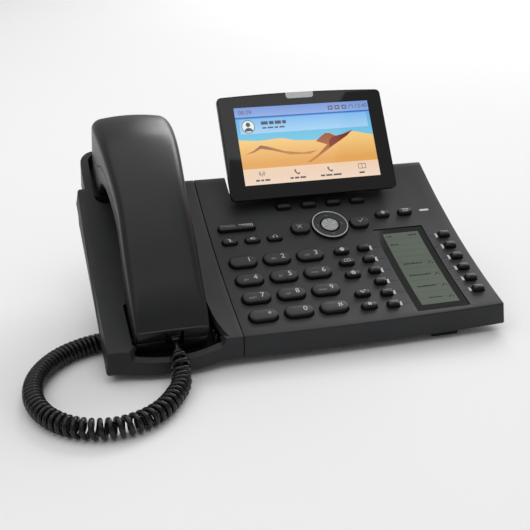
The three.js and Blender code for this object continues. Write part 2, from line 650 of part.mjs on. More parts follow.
// Outline points over the table, from the underside of the tray down to the table.
function footStand() {
  const underside = (y) => {
    const front = overTable(0, ...BELLY.front);
    const rear = overTable(0, ...BELLY.back);
    return front.z + (rear.z - front.z) * (y - front.y) / (rear.y - front.y) - GAP;
  };
  const { front, plate, back, toe: end, thick } = STAND;
  const cheekOutline = [[front, underside(front)], [back, underside(back)], [end, thick], [end, 0], [back, 0]];
  const plateOutline = [
    [plate, underside(plate)],
    [back, underside(back)],
    [end, thick],
    [end, 0],
    [end - thick, 0],
    [end - thick, thick - 1],
  ];
  const toe = profileBlock([[back, 0], [end, 0], [end, thick], [back, thick]], STAND.x0, STAND.x1);
  const left = profileBlock(cheekOutline, STAND.x0, STAND.x0 + STAND.cheek);
  const right = profileBlock(cheekOutline, STAND.x1 - STAND.cheek, STAND.x1);
  return profileBlock(plateOutline, STAND.x0, STAND.x1).add(left).add(right).add(toe);
}

// ---------------------------------------------------------------- assembly

const phone = new THREE.Group();
phone.position.set(-CENTRE.x, -CENTRE.y, 0);

const face = new THREE.Group();
face.position.set(0, 0, FRONT_HEIGHT);
face.rotation.x = FACE_TILT;

const display = new THREE.Group();
display.position.set(DISPLAY.x, DISPLAY.y, DISPLAY.z);
display.rotation.x = THREE.MathUtils.degToRad(DISPLAY.tilt);
face.add(display);
phone.add(face);

function place(group, name, solid, material) {
  const mesh = new THREE.Mesh(toGeometry(solid), material);
  mesh.name = name;
  group.add(mesh);
}

place(face, 'top_cover', topCover(), CHARCOAL_FACE);
place(face, 'cradle_cover', cradleCover(), CHARCOAL_FACE);
place(face, 'base_cover', baseCover(), CHARCOAL);
place(face, 'hook_lever', hookLever(), KEY_BLACK);
place(face, 'lcd_window', lcdWindow(), LCD_GREY);
place(face, 'main_board', mainBoard(), BOARD_GREEN);
place(face, 'loudspeaker', loudspeaker(), STEEL);
place(face, 'handset_back_shell', handsetBackShell(), HANDSET_BLACK);
place(face, 'handset_inner_shell', handsetInnerShell(), HANDSET_BLACK);
place(face, 'handset_plug', handsetPlug(), CLEAR_PLUG);
place(face, 'base_plug', basePlug(), CLEAR_PLUG);

for (const key of [...plainKeys, cancelKey, confirmKey, volumeRocker]) {
  place(face, key.name, keySolid(key), KEY_BLACK);
}
const navBottom = faceZ(NAV.y) - KEY_ROOT;
const navTop = faceZ(NAV.y) + NAV.h;
place(face, 'nav_ring', uprightCylinder(NAV.x, NAV.y, navBottom, navTop, NAV.outer)
  .subtract(uprightCylinder(NAV.x, NAV.y, navBottom - 1, navTop + 1, NAV.inner, 24)), KEY_BLACK);
place(face, 'nav_button', uprightCylinder(NAV.x, NAV.y, navBottom, navTop + 0.3, NAV.button, 24), SILVER);

place(display, 'display_bezel', displayBezel(), GLOSS_BLACK);
place(display, 'display_glass', displayGlass(), GLOSS_BLACK);
place(display, 'message_light', messageLight(), LIGHT_WHITE);
place(display, 'display_rear_cover', displayRearCover(), CHARCOAL);

place(phone, 'foot_stand', footStand(), CHARCOAL);
place(phone, 'curly_cord', curlyCord(), CORD_BLACK);

export default phone;
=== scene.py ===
"""The looks of a desk IP phone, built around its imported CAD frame.

Sizes are millimetres until make() turns them into metres. x is to the phone's right,
y up its face from the front edge, and z out of the face, in a frame that is tilted
back and placed over the table just as the CAD model's face is.
"""

import math
import random

import bmesh
import bpy
from mathutils import Matrix, Vector


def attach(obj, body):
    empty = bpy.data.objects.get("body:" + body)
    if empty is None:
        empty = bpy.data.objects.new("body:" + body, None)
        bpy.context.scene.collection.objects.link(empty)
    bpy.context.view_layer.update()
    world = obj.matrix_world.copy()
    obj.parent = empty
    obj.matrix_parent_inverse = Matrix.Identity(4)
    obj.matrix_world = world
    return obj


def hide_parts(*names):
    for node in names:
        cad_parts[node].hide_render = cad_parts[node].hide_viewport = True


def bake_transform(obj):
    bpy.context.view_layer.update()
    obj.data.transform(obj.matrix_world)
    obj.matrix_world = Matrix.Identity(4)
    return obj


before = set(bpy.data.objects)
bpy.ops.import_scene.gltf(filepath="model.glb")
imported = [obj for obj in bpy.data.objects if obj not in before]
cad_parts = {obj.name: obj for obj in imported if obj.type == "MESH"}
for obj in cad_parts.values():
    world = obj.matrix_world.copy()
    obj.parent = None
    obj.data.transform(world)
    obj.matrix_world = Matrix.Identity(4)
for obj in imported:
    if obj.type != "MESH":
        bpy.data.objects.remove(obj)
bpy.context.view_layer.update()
random.seed(7)

# ------------------------------------------------------------------ driving sizes

MM = 0.001
FACE_WIDTH = 242
FACE_LENGTH = 141.3
FACE_SAG = 5.07
FACE_TILT = math.radians(23.5)
FRONT_HEIGHT = 18.5
FRONT_SKIRT = 13.2
REAR_SKIRT = 10.5
SEAM_X = 76.8
WALL = 2.2
SIDE_FLARE = 1.3
CENTRE = (121, 79.68)

TABLE = Matrix.Translation((-CENTRE[0] * MM, -CENTRE[1] * MM, 0))
FACE = TABLE @ Matrix.Translation((0, 0, FRONT_HEIGHT * MM)) @ Matrix.Rotation(FACE_TILT, 4, "X")

DISPLAY_AT = (95.6, 109.9, 4.5)
DISPLAY_WIDTH = 116.2
DISPLAY_HEIGHT = 71.2
DISPLAY_ARCH = 1.5
DISPLAY_TILT = math.radians(33.2)
DISPLAY = FACE @ Matrix.Translation([v * MM for v in DISPLAY_AT]) @ Matrix.Rotation(DISPLAY_TILT, 4, "X")

HANDSET_X = 37


def face_z(y):
    return -4 * FACE_SAG * (y / FACE_LENGTH) * (1 - y / FACE_LENGTH)


def face_slope(y):
    return math.atan(-4 * FACE_SAG / FACE_LENGTH * (1 - 2 * y / FACE_LENGTH))


def bulge(x, start, end, sag):
    t = (2 * x - start - end) / (end - start)
    return -sag * (1 - t * t) if abs(t) < 1 else 0


def front_y(x):
    return bulge(x, 8, 64, 4.3) + bulge(x, SEAM_X, FACE_WIDTH, 1.5)


def spread(start, end, steps):
    return [start + (end - start) * i / steps for i in range(steps + 1)]


def on_face(x, y, lift=0.0):
    """The frame of a thing that lies on the face at x, y, turned to the face's slope."""
    return FACE @ Matrix.Translation((x * MM, y * MM, (face_z(y) + lift) * MM)) @ Matrix.Rotation(
        face_slope(y), 4, "X"
    )


# ------------------------------------------------------------------ forms


class Form:
    """Points and faces of one piece in millimetres, with a paint number for each face."""

    def __init__(self):
        self.points, self.faces, self.paints = [], [], []

    def add(self, points, faces, paint=0):
        start = len(self.points)
        self.points += [Vector(p) for p in points]
        self.faces += [tuple(start + i for i in face) for face in faces]
        self.paints += [paint] * len(faces)
        return self

    def loft(self, rings, paint=0, caps=True):
        """Joins closed rings of equal point count one after another."""
        count = len(rings[0])
        faces = [
            (r * count + i, r * count + (i + 1) % count, (r + 1) * count + (i + 1) % count,
             (r + 1) * count + i)
            for r in range(len(rings) - 1)
            for i in range(count)
        ]
        if caps:
            faces.append(tuple(reversed(range(count))))
            faces.append(tuple(range((len(rings) - 1) * count, len(rings) * count)))
        return self.add([p for ring in rings for p in ring], faces, paint)

    def box(self, x0, x1, y0, y1, z0, z1, paint=0, edge=0.0):
        if edge:
            return self.pad(x0, x1, y0, y1, z0, z1, edge, edge, paint)
        return self.loft([[(x0, y0, z), (x1, y0, z), (x1, y1, z), (x0, y1, z)] for z in (z0, z1)], paint)

    def pad(self, x0, x1, y0, y1, z0, z1, radius, edge=0.3, paint=0):
        """A rounded block standing on z0 with its top edge rolled over."""
        centre = ((x0 + x1) / 2, (y0 + y1) / 2)
        rings = [rounded(*centre, x1 - x0, y1 - y0, radius, z0)]
        for a in spread(0, math.pi / 2, 3):
            inset = edge * (1 - math.cos(a))
            size = (x1 - x0 - 2 * inset, y1 - y0 - 2 * inset)
            rings.append(rounded(*centre, *size, max(radius - inset, 0.05), z1 - edge + edge * math.sin(a)))
        return self.loft(rings, paint)

    def disc(self, x, y, z0, z1, radius, paint=0, sides=24, edge=0.0):
        rings = [circle(x, y, z0, radius, sides), circle(x, y, z1 - edge, radius, sides)]
        if edge:
            rings.append(circle(x, y, z1, radius - edge, sides))
        return self.loft(rings, paint)

    def moved(self, matrix):
        self.points = [matrix @ p for p in self.points]
        return self


def circle(x, y, z, radius, sides=24):
    turns = [2 * math.pi * i / sides for i in range(sides)]
    return [(x + radius * math.cos(a), y + radius * math.sin(a), z) for a in turns]


def rounded(x, y, w, d, radius, z, steps=5):
    """Points of a rounded rectangle round (x, y)."""
    r = min(radius, w / 2 - 0.01, d / 2 - 0.01)
    points = []
    for corner, (sx, sy) in enumerate([(1, 1), (-1, 1), (-1, -1), (1, -1)]):
        for i in range(steps + 1):
            a = (corner + i / steps) * math.pi / 2
            points.append((x + sx * (w / 2 - r) + r * math.cos(a), y + sy * (d / 2 - r) + r * math.sin(a), z))
    return points


def make(name, form, matrix, paints, body="phone_body", replaces=(), smooth=38):
    """One piece of the phone from a form, riding on a CAD body."""
    mesh = bpy.data.meshes.new(name)
    mesh.from_pydata([p * MM for p in form.points], [], form.faces)
    for paint in paints:
        mesh.materials.append(paint)
    mesh.polygons.foreach_set("material_index", form.paints)
    piece = bpy.data.objects.new(name, mesh)
    bpy.context.scene.collection.objects.link(piece)
    piece.matrix_world = matrix
    tidy_mesh(mesh, smooth)
    if body:
        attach(piece, body)
    if replaces:
        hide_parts(*replaces)
    return piece


def tidy_mesh(mesh, smooth):
    work = bmesh.new()
    work.from_mesh(mesh)
    bmesh.ops.remove_doubles(work, verts=work.verts, dist=1e-7)
    bmesh.ops.recalc_face_normals(work, faces=work.faces)
    work.to_mesh(mesh)
    work.free()
    mesh.polygons.foreach_set("use_smooth", [True] * len(mesh.polygons))
    mesh.set_sharp_from_angle(angle=math.radians(smooth))


def shape_with(piece, form, operation="DIFFERENCE", smooth=38):
    """Cuts a form out of a piece, or joins it on. The form is in the piece's own frame."""
    tool = make("tool", form, piece.matrix_world, [], body=None)
    change = piece.modifiers.new("shape", "BOOLEAN")
    change.operation = operation
    change.solver = "EXACT"
    change.object = tool
    bpy.context.view_layer.update()
    result = bpy.data.meshes.new_from_object(piece.evaluated_get(bpy.context.evaluated_depsgraph_get()))
    piece.modifiers.clear()
    piece.data = result
    result.polygons.foreach_set("use_smooth", [True] * len(result.polygons))
    result.set_sharp_from_angle(angle=math.radians(smooth))
    bpy.data.objects.remove(tool)
    return piece


# ------------------------------------------------------------------ materials


def colour(r, g, b):
    """A display colour, 0 to 255, as the linear colour that a shader takes."""
    return tuple(c / 12.92 if c <= 0.04045 else ((c + 0.055) / 1.055) ** 2.4
                 for c in (r / 255, g / 255, b / 255)) + (1,)


class Paint:
    """A Principled material and the nodes that give it detail."""

    def __init__(self, name, base, roughness=0.5, metallic=0.0, coat=0.0, specular=0.5):
        self.material = bpy.data.materials.new(name)
        self.material.use_nodes = True
        self.nodes = self.material.node_tree.nodes
        self.links = self.material.node_tree.links
        self.shader = self.nodes["Principled BSDF"]
        self.base = base
        self.roughness = roughness
        self.shader.inputs["Base Color"].default_value = base
        self.shader.inputs["Roughness"].default_value = roughness
        self.shader.inputs["Metallic"].default_value = metallic
        self.shader.inputs["Coat Weight"].default_value = coat
        self.shader.inputs["Coat Roughness"].default_value = 0.06
        self.shader.inputs["Specular IOR Level"].default_value = specular
        self.place = self.nodes.new("ShaderNodeTexCoord").outputs["Object"]
        self.material.diffuse_color = base

    def noise(self, scale, detail=3.0, stretch=(1, 1, 1)):
        grain = self.nodes.new("ShaderNodeTexNoise")
        grain.inputs["Scale"].default_value = scale
        grain.inputs["Detail"].default_value = detail
        place = self.place
        if stretch != (1, 1, 1):
            mapping = self.nodes.new("ShaderNodeMapping")
            mapping.inputs["Scale"].default_value = stretch
            self.links.new(place, mapping.inputs["Vector"])
            place = mapping.outputs["Vector"]
        self.links.new(place, grain.inputs["Vector"])
        return grain.outputs["Fac"]

    def ramp(self, value, stops):
        ramp = self.nodes.new("ShaderNodeValToRGB")
        ramp.color_ramp.elements[0].position, ramp.color_ramp.elements[0].color = stops[0]
        ramp.color_ramp.elements[1].position, ramp.color_ramp.elements[1].color = stops[-1]
        for position, shade in stops[1:-1]:
            ramp.color_ramp.elements.new(position).color = shade
        self.links.new(value, ramp.inputs["Fac"])
        return ramp.outputs["Color"]

    def tint(self, value, change):
        """Varies the base colour by a share either way with a 0 to 1 value."""
        low, high = (tuple(c * k for c in self.base[:3]) + (1,) for k in (1 - change, 1 + change))
        self.links.new(self.ramp(value, [(0.3, low), (0.7, high)]), self.shader.inputs["Base Color"])
        return self

    def gloss(self, value, change):
        spreadout = self.nodes.new("ShaderNodeMapRange")
        spreadout.inputs["From Min"].default_value = 0.3
        spreadout.inputs["From Max"].default_value = 0.7
        spreadout.inputs["To Min"].default_value = max(self.roughness - change, 0.02)
        spreadout.inputs["To Max"].default_value = self.roughness + change
        self.links.new(value, spreadout.inputs["Value"])
        self.links.new(spreadout.outputs["Result"], self.shader.inputs["Roughness"])
        return self

    def bump(self, value, depth):
        bump = self.nodes.new("ShaderNodeBump")
        bump.inputs["Strength"].default_value = 1.0
        bump.inputs["Distance"].default_value = depth * MM
        self.links.new(value, bump.inputs["Height"])
        self.links.new(bump.outputs["Normal"], self.shader.inputs["Normal"])
        return self

    def glow(self, strength):
        self.shader.inputs["Emission Color"].default_value = self.base
        self.shader.inputs["Emission Strength"].default_value = strength
        return self


def moulded(name, shade, roughness, texture=0.02, scale=1800, specular=0.5):
    """Spark-textured moulded plastic with faint handling marks."""
    paint = Paint(name, colour(*shade), roughness, specular=specular)
    paint.tint(paint.noise(60, 4), 0.06)
    paint.gloss(paint.noise(35, 5), 0.05)
    return paint.bump(paint.noise(scale, 2), texture).material


def glossy(name, shade, roughness=0.06):
    """Polished plastic or glass with a trace of wiping marks."""
    paint = Paint(name, colour(*shade), roughness)
    paint.tint(paint.noise(40, 3), 0.05)
    return paint.gloss(paint.noise(55, 6, (1, 3, 1)), 0.02).material


def printed(name, shade, roughness=0.5, glow=0.0):
    """Ink or a lit picture element, with the speckle of a screen print."""
    paint = Paint(name, colour(*shade), roughness)
    paint.tint(paint.noise(2500, 2), 0.04)
    return paint.glow(glow).material if glow else paint.material


def brushed(name, shade, roughness, radial):
    """Silver metal, brushed in lines or spun round its own z axis; spun, its tone changes with the angle
    round z, for the grain and a painted sheen.
    """
    paint = Paint(name, colour(*shade), roughness, metallic=1.0)
    if radial:
        # Tone by angle round z: the spun grain together with a painted sheen, the bright and dark sectors of
        # the spun face's reflection.
        split = paint.nodes.new("ShaderNodeSeparateXYZ")
        angle = paint.nodes.new("ShaderNodeMath")
        wave = paint.nodes.new("ShaderNodeTexNoise")
        angle.operation = "ARCTAN2"
        paint.links.new(paint.place, split.inputs["Vector"])
        paint.links.new(split.outputs["Y"], angle.inputs[0])
        paint.links.new(split.outputs["X"], angle.inputs[1])
        wave.noise_dimensions = "1D"
        wave.inputs["Scale"].default_value = 3.2
        wave.inputs["Detail"].default_value = 8
        paint.links.new(angle.outputs["Value"], wave.inputs["W"])
        value = wave.outputs["Fac"]
    else:
        value = paint.noise(900, 4, (1, 12, 1))
    paint.tint(value, 0.5)
    paint.gloss(value, 0.15)
    return paint.material


FACE_PLASTIC = moulded("face_plastic", (40, 41, 43), 0.48, specular=0.3)
CASE_PLASTIC = moulded("case_plastic", (30, 31, 33), 0.5, specular=0.3)
HANDSET_PLASTIC = moulded("handset_plastic", (22, 23, 25), 0.36, 0.012, specular=0.4)
KEY_PLASTIC = moulded("key_plastic", (30, 31, 33), 0.4, 0.008, 2600, specular=0.35)
# The key plastic darkened for the key sides: painted shade, a shaded copy of the tops' material.
KEY_SIDE_SHADE = moulded("key_dark", (20, 21, 23), 0.42, 0.008, 2600, specular=0.3)
# Near black: painted shade for the pocket floor, screw slots, socket openings and vents, and the ink of the
# fine printed lines by the function keys.
SHADE_AND_PRINT_BLACK = moulded("shade_and_print_black", (7, 7, 8), 0.7, specular=0.1)
RUBBER = moulded("rubber", (26, 26, 27), 0.8, 0.05, 900)
CORD_SHEATH = moulded("cord_sheath", (8, 8, 9), 0.26, 0.01, 900, specular=0.4)
SCREEN_RIM = moulded("screen_rim", (26, 27, 29), 0.32, 0.008, specular=0.35)
SCREEN_GLASS = glossy("screen_glass", (14, 14, 15), 0.05)
LABEL_GLASS = glossy("label_glass", (20, 21, 21), 0.07)
CLEAR_PLUG = glossy("clear_plug", (48, 50, 52), 0.12)
LENS_WHITE = printed("lens_white", (206, 208, 208), 0.3)
INK_WHITE = printed("ink_white", (206, 208, 210))
INK_GREY = printed("ink_grey", (140, 142, 144))
SILVER = brushed("silver", (160, 162, 164), 0.3, False)
SPUN_SILVER_WITH_SHEEN = brushed("spun_silver_with_sheen", (148, 149, 151), 0.36, True)
STEEL = brushed("steel", (150, 152, 155), 0.35, False)
LCD_FIELD = Paint("lcd_field", colour(98, 108, 96), 0.1)
LCD_FIELD.tint(LCD_FIELD.noise(25, 2), 0.08)
LCD_FIELD = LCD_FIELD.gloss(LCD_FIELD.noise(55, 5), 0.03).material
LCD_LINE = printed("lcd_line", (76, 86, 76), 0.12)
LCD_INK = printed("lcd_ink", (20, 24, 20), 0.12)


def lit(name, shade, top=None, across=None):
    """A lit part of the picture under glass; with top it shades from one colour to another."""
    paint = Paint(name, colour(0, 0, 0), 0.05)
    split = paint.nodes.new("ShaderNodeSeparateXYZ")
    paint.links.new(paint.place, split.inputs["Vector"])
    share = paint.nodes.new("ShaderNodeMapRange")
    low, high = across or (9 * MM, 63 * MM)
    share.inputs["From Min"].default_value = low
    share.inputs["From Max"].default_value = high
    paint.links.new(split.outputs["Y"], share.inputs["Value"])
    paint.links.new(
        paint.ramp(share.outputs["Result"], [(0.0, colour(*shade)), (1.0, colour(*(top or shade)))]),
        paint.shader.inputs["Emission Color"],
    )
    paint.shader.inputs["Emission Strength"].default_value = SCREEN_LIGHT
    return paint.gloss(paint.noise(55, 5), 0.015).material


SCREEN_LIGHT = 1.0
PICTURE_PAINTS = [
    lit("picture_sky", (120, 205, 225), (98, 160, 225), (33 * MM, 62 * MM)),
    lit("picture_bar", (142, 172, 226), (120, 150, 214), (56 * MM, 63 * MM)),
    lit("picture_line", (52, 108, 186)),
    lit("picture_card", (166, 210, 240), (128, 184, 236), (44 * MM, 55 * MM)),
    lit("picture_sand", (226, 164, 88), (246, 204, 130), (24 * MM, 41 * MM)),
    lit("picture_ridge", (196, 138, 78), (150, 104, 74), (28 * MM, 36 * MM)),
    lit("picture_shadow", (190, 122, 66), (150, 84, 52), (22 * MM, 42 * MM)),
    lit("picture_red", (140, 52, 34), (112, 40, 34), (31 * MM, 42 * MM)),
    lit("picture_keys", (240, 216, 196), (236, 206, 178), (9 * MM, 20 * MM)),
    lit("picture_badge", (96, 96, 92)),
    lit("picture_badge_field", (228, 236, 230)),
    lit("picture_figure", (70, 84, 104)),
    lit("picture_type", (96, 88, 96)),
]
LABEL_PAPER = printed("label_paper", (176, 178, 180), 0.6)
GOLD = Paint("contact_gold", colour(196, 156, 72), 0.3, metallic=1.0).material

# ------------------------------------------------------------------ camera, light, floor


# The camera's place in metres, its dip below level and turn in degrees, and its lens in millimetres.
CAMERA_AT = (-0.1619, -0.5251, 0.2459)
CAMERA_DIP = 21.75
CAMERA_TURN = -16.26
CAMERA_LENS = 61.62


def set_stage():
    """The camera, a pale floor and backdrop, and soft studio light."""
    camera = bpy.data.objects.new("camera", bpy.data.cameras.new("camera"))
    bpy.context.scene.collection.objects.link(camera)
    camera.location = CAMERA_AT
    camera.rotation_euler = (math.radians(90 - CAMERA_DIP), 0, math.radians(CAMERA_TURN))
    camera.data.lens = CAMERA_LENS
    camera.data.sensor_width = 36
    bpy.context.scene.camera = camera

    floor_form = Form().loft([[(-4000, -4000, z), (4000, -4000, z), (4000, 4000, z), (-4000, 4000, z)]
                              for z in (-8, 0)])
    paper = Paint("paper", (0.93, 0.93, 0.93, 1), 0.9)
    paper.tint(paper.noise(3, 2), 0.004)
    floor = make("floor", floor_form, Matrix.Identity(4), [paper.material], body=None)

    world = bpy.data.worlds.new("studio")
    world.use_nodes = True
    world.node_tree.nodes["Background"].inputs["Color"].default_value = (1, 1, 1, 1)
    world.node_tree.nodes["Background"].inputs["Strength"].default_value = WORLD_LIGHT
    bpy.context.scene.world = world
    for name, at, aim, size, power in LIGHTS:
        lamp = bpy.data.objects.new(name, bpy.data.lights.new(name, "AREA"))
        bpy.context.scene.collection.objects.link(lamp)
        lamp.data.shape = "RECTANGLE"
        lamp.data.size, lamp.data.size_y = size
        lamp.data.energy = power
        lamp.location = at
        lamp.rotation_euler = (Vector(aim) - Vector(at)).to_track_quat("-Z", "Y").to_euler()
    bpy.context.scene.view_settings.view_transform = "Standard"


WORLD_LIGHT = 0.36
# Each lamp: name, place, what it faces, width and depth, and power, in metres and watts.
LIGHTS = [
    ("overhead", (-0.45, -0.05, 1.25), (-0.45, -0.05, 0), (2.1, 1.8), 10),
    ("back_right", (1.5, 2.0, 1.7), (0, 0, 0), (2.2, 1.4), 46),
]

set_stage()

# ------------------------------------------------------------------ cord

CORD_RADIUS = 5.8
WIRE_RADIUS = 1.5
LEAD_LENGTH = 4.5
LEAD_RISE = 8
# How far the coil advances in one turn, at distances along the cord.
COIL_PITCH = [(0, 3.6), (14, 3.9), (40, 4.2), (90, 4.4), (120, 3.9), (160, 3.15), (280, 3.1)]
BASE_JACK = (31, 60)
BASE_PLUG_END = -28
HANDSET_JACK = (38.2, -0.7)
HANDSET_PLUG_END = 3.3

# The cord's centreline over the table, from the handset's plug to the base's plug,
# measured from the left end of the face's front edge.
CORD_ROUTE = [
    (38.2, 3.2, 19.1),
    (38.2, -2, 16.8),
    (38.2, -7.3, 14.4),
    (37.9, -10.3, 12.6),
    (37.5, -14, 8.9),
    (36.8, -18.5, 6.6),
    (34.9, -24, 5.9),
    (31.2, -30.8, 5.9),
    (22.5, -43, 5.9),
    (10.8, -51.6, 5.9),
    (-2, -55, 5.9),
    (-14.5, -53.2, 5.9),
    (-26, -46.6, 5.9),
    (-34.6, -36, 5.9),
    (-39.7, -23, 5.9),
    (-41.1, -9.7, 5.9),
    (-38.8, 5, 5.9),
    (-32, 19.4, 5.9),
    (-21.6, 31, 5.9),
    (-9.7, 38.3, 5.9),
    (3, 42.6, 5.9),
    (14, 49, 6.1),
    (22.4, 57.6, 6.6),
    (28, 65, 8.2),
    (30.6, 68.1, 11),
    (31, 67.8, 13),
]


def smooth_line(points, step):
    """A centripetal Catmull-Rom line through the points, with an even step."""
    points = [Vector(p) for p in points]
    ends = [2 * points[0] - points[1], *points, 2 * points[-1] - points[-2]]
    dense = []
    for a, b, c, d in zip(ends, ends[1:], ends[2:], ends[3:]):
        times = [0.0]
        for p, q in ((a, b), (b, c), (c, d)):
            times.append(times[-1] + math.sqrt((q - p).length))
        t0, t1, t2, t3 = times
        for i in range(40):
            t = t1 + (t2 - t1) * i / 40
            ab = a.lerp(b, (t - t0) / (t1 - t0))
            bc = b.lerp(c, (t - t1) / (t2 - t1))
            cd = c.lerp(d, (t - t2) / (t3 - t2))
            abc = ab.lerp(bc, (t - t0) / (t2 - t0))
            bcd = bc.lerp(cd, (t - t1) / (t3 - t1))
            dense.append(abc.lerp(bcd, (t - t1) / (t2 - t1)))
    dense.append(points[-1])
    line, carried = [dense[0]], 0.0
    for p, q in zip(dense, dense[1:]):
        gap = (q - p).length
        while carried + gap >= step * len(line):
            line.append(p.lerp(q, (step * len(line) - carried) / gap))
        carried += gap
    return line


def carried_frames(line):
    """A tangent and a side vector at each point, turned along the line without twist."""
    frames, side = [], Vector((0, 0, 1))
    for i in range(len(line)):
        along = (line[min(i + 1, len(line) - 1)] - line[max(i - 1, 0)]).normalized()
        side = (side - along * side.dot(along)).normalized()
        frames.append((along, side.copy()))
    return frames


def pitch_at(along):
    for (start, low), (end, high) in zip(COIL_PITCH, COIL_PITCH[1:]):
        if along <= end:
            return low + (high - low) * (along - start) / (end - start)
    return COIL_PITCH[-1][1]


def coil_line(line, step):
    """The wire's own line, wound round the centreline, and where along it each point is."""
    frames = carried_frames(line)
    total = step * (len(line) - 1)
    wire, distances, angle, along = [], [], 0.0, 0.0
    while along < total:
        index = min(int(along / step), len(line) - 2)
        part = along / step - index
        centre = line[index].lerp(line[index + 1], part)
        tangent = frames[index][0].lerp(frames[index + 1][0], part).normalized()
        side = frames[index][1].lerp(frames[index + 1][1], part).normalized()
        lead = max(0, min(1, (along - LEAD_LENGTH) / LEAD_RISE, (total - along) / 3))
        radius = (CORD_RADIUS - WIRE_RADIUS - 0.05) * lead
        across = tangent.cross(side)
        wire.append(centre + (side * math.cos(angle) + across * math.sin(angle)) * radius)
        distances.append(along)
        angle += COIL_TURN * 2 * math.pi / COIL_STEPS
        along += pitch_at(along) / COIL_STEPS
    return wire, distances


def tube(line, radius, sides=9):
    rings = []
    for centre, (along, side) in zip(line, carried_frames(line)):
        across = along.cross(side)
        turns = [2 * math.pi * i / sides for i in range(sides)]
        rings.append([centre + (side * math.cos(a) + across * math.sin(a)) * radius for a in turns])
    return Form().loft(rings)


COIL_STEPS = 15
COIL_TURN = 1
LINE_STEP = 1.0
HANDSET_END_LENGTH = 102


def face_point(x, y, z):
    """A face point over the table, measured from the left end of the front edge."""
    return (TABLE.inverted() @ FACE @ Vector((x * MM, y * MM, z * MM))) / MM


def make_cord():
    """The curly cord in two stretches: the one at the handset, left on no body, and the rest, on the phone's
    body.
    """
    jack = face_point(*BASE_JACK, BASE_PLUG_END - 0.3)
    line = smooth_line([*CORD_ROUTE, jack], LINE_STEP)
    wire, distances = coil_line(line, LINE_STEP)
    split = next(i for i, d in enumerate(distances) if d >= HANDSET_END_LENGTH)
    middle = int(HANDSET_END_LENGTH / LINE_STEP)
    stretches = {
        "curly_cord_handset_end": (wire[: split + 1], line[: middle + 1]),
        "curly_cord_loop": (wire[split:], line[middle:]),
    }
    for name, (wound, centre) in stretches.items():
        at_handset = name.endswith("handset_end")
        cord = make(name, tube(wound, WIRE_RADIUS), TABLE, [CORD_SHEATH], smooth=80,
                    body=None if at_handset else "phone_body", replaces=["curly_cord"])
        if at_handset:
            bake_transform(cord)


def plug_form(boot, body):
    """A modular plug with its latch, contacts and boot, its boot's end at 0 and along z."""
    form = Form()
    form.loft([rounded(0, 0, w, d, 1.5, z) for w, d, z in ((4, 3.8, 0), (4.4, 4.2, 0.4), (6, 5.4, boot))], 1)
    for t in spread(0.2, 0.8, int(boot / 1.5)):
        w = 4.4 + 1.6 * t
        form.loft([rounded(0, 0, w + g, w - 0.3 + g, 1.5, boot * t + z) for g,
                   z in ((0, 0), (0.4, 0.2), (0.4, 0.5), (0, 0.7))], 1)
    end = boot + body
    form.pad(-3.8, 3.8, -3.3, 3.3, boot, end, 0.6, 0.4, 0)
    form.box(-1.5, 1.5, 3.2, 4.0, boot + 1, end - 2, 0)
    for i in range(4):
        x = -1.6 + 1.07 * i
        form.box(x - 0.2, x + 0.2, -3.4, -3.2, end - 3, end - 0.5, 2)
    return form


def make_base_plug():
    matrix = FACE @ Matrix.Translation((BASE_JACK[0] * MM, BASE_JACK[1] * MM, BASE_PLUG_END * MM))
    return make("base_cord_plug", plug_form(8.1, 9.9), matrix, [CLEAR_PLUG, CORD_SHEATH, GOLD],
                replaces=["base_plug"])


def make_handset_plug():
    x, z = HANDSET_JACK
    matrix = FACE @ Matrix.Translation((x * MM, HANDSET_PLUG_END * MM,
                                        z * MM)) @ Matrix.Rotation(-math.pi / 2, 4, "X")
    return make("handset_cord_plug", plug_form(4.4, 12), matrix, [CLEAR_PLUG, CORD_SHEATH, GOLD],
                body="handset", replaces=["handset_plug"])


base_plug = make_base_plug()
make_handset_plug()
make_cord()

# ------------------------------------------------------------------ handset

# Along the handset: y, the height of its back edges, of its underside, its half
# width and how far its back is crowned.
HANDSET_STATIONS = [
    (5.4, 5.9, -9.6, 20.6, 0.3),
    (8, 8.2, -9.8, 20.9, 0.5),
    (14, 12.9, -9.8, 21.1, 0.8),
    (24, 18.8, -9.6, 21.3, 1),
    (34, 23.8, -7.5, 21.3, 1.2),
    (43, 28.3, -1, 21.3, 1.5),
    (52, 32.8, 6.5, 21.2, 1.8),
    (62, 37.6, 13.5, 21, 2),
    (74, 42.2, 19.2, 20.9, 2.3),
    (88, 45.6, 22.6, 21.6, 2.6),
    (102, 47.4, 23, 22.5, 2.8),
    (114, 48, 20, 23.3, 3),
    (124, 47.7, 13, 23.9, 3.2),
    (131, 46.7, 2, 24.3, 3.3),
    (138, 45.2, -4, 24.7, 3.3),
    (150, 41.8, -4.6, 25, 3.3),
    (160, 37.8, -4.2, 24.6, 3.2),
    (165.5, 33.8, -2.5, 23.2, 2.8),
    (168.4, 28.5, 1, 20.8, 2),
]
SECTION_STEPS = 8
PARTING_GAP = 0.22


def between(table, y):
    """The values of a table of stations at y, on smooth curves through them."""
    i = max(k for k in range(len(table) - 1) if table[k][0] <= y or k == 0)
    a, b = table[i], table[i + 1]
    before = table[i - 1] if i else a
    after = table[i + 2] if i + 2 < len(table) else b
    t = (y - a[0]) / (b[0] - a[0])
    values = []
    for k in range(1, len(a)):
        into = (b[k] - before[k]) / (b[0] - before[0]) * (b[0] - a[0])
        out = (after[k] - a[k]) / (after[0] - a[0]) * (b[0] - a[0])
        values.append(
            a[k] * (2 * t**3 - 3 * t * t + 1) + into * (t**3 - 2 * t * t + t)
            + b[k] * (3 * t * t - 2 * t**3) + out * (t**3 - t * t)
        )
    return values


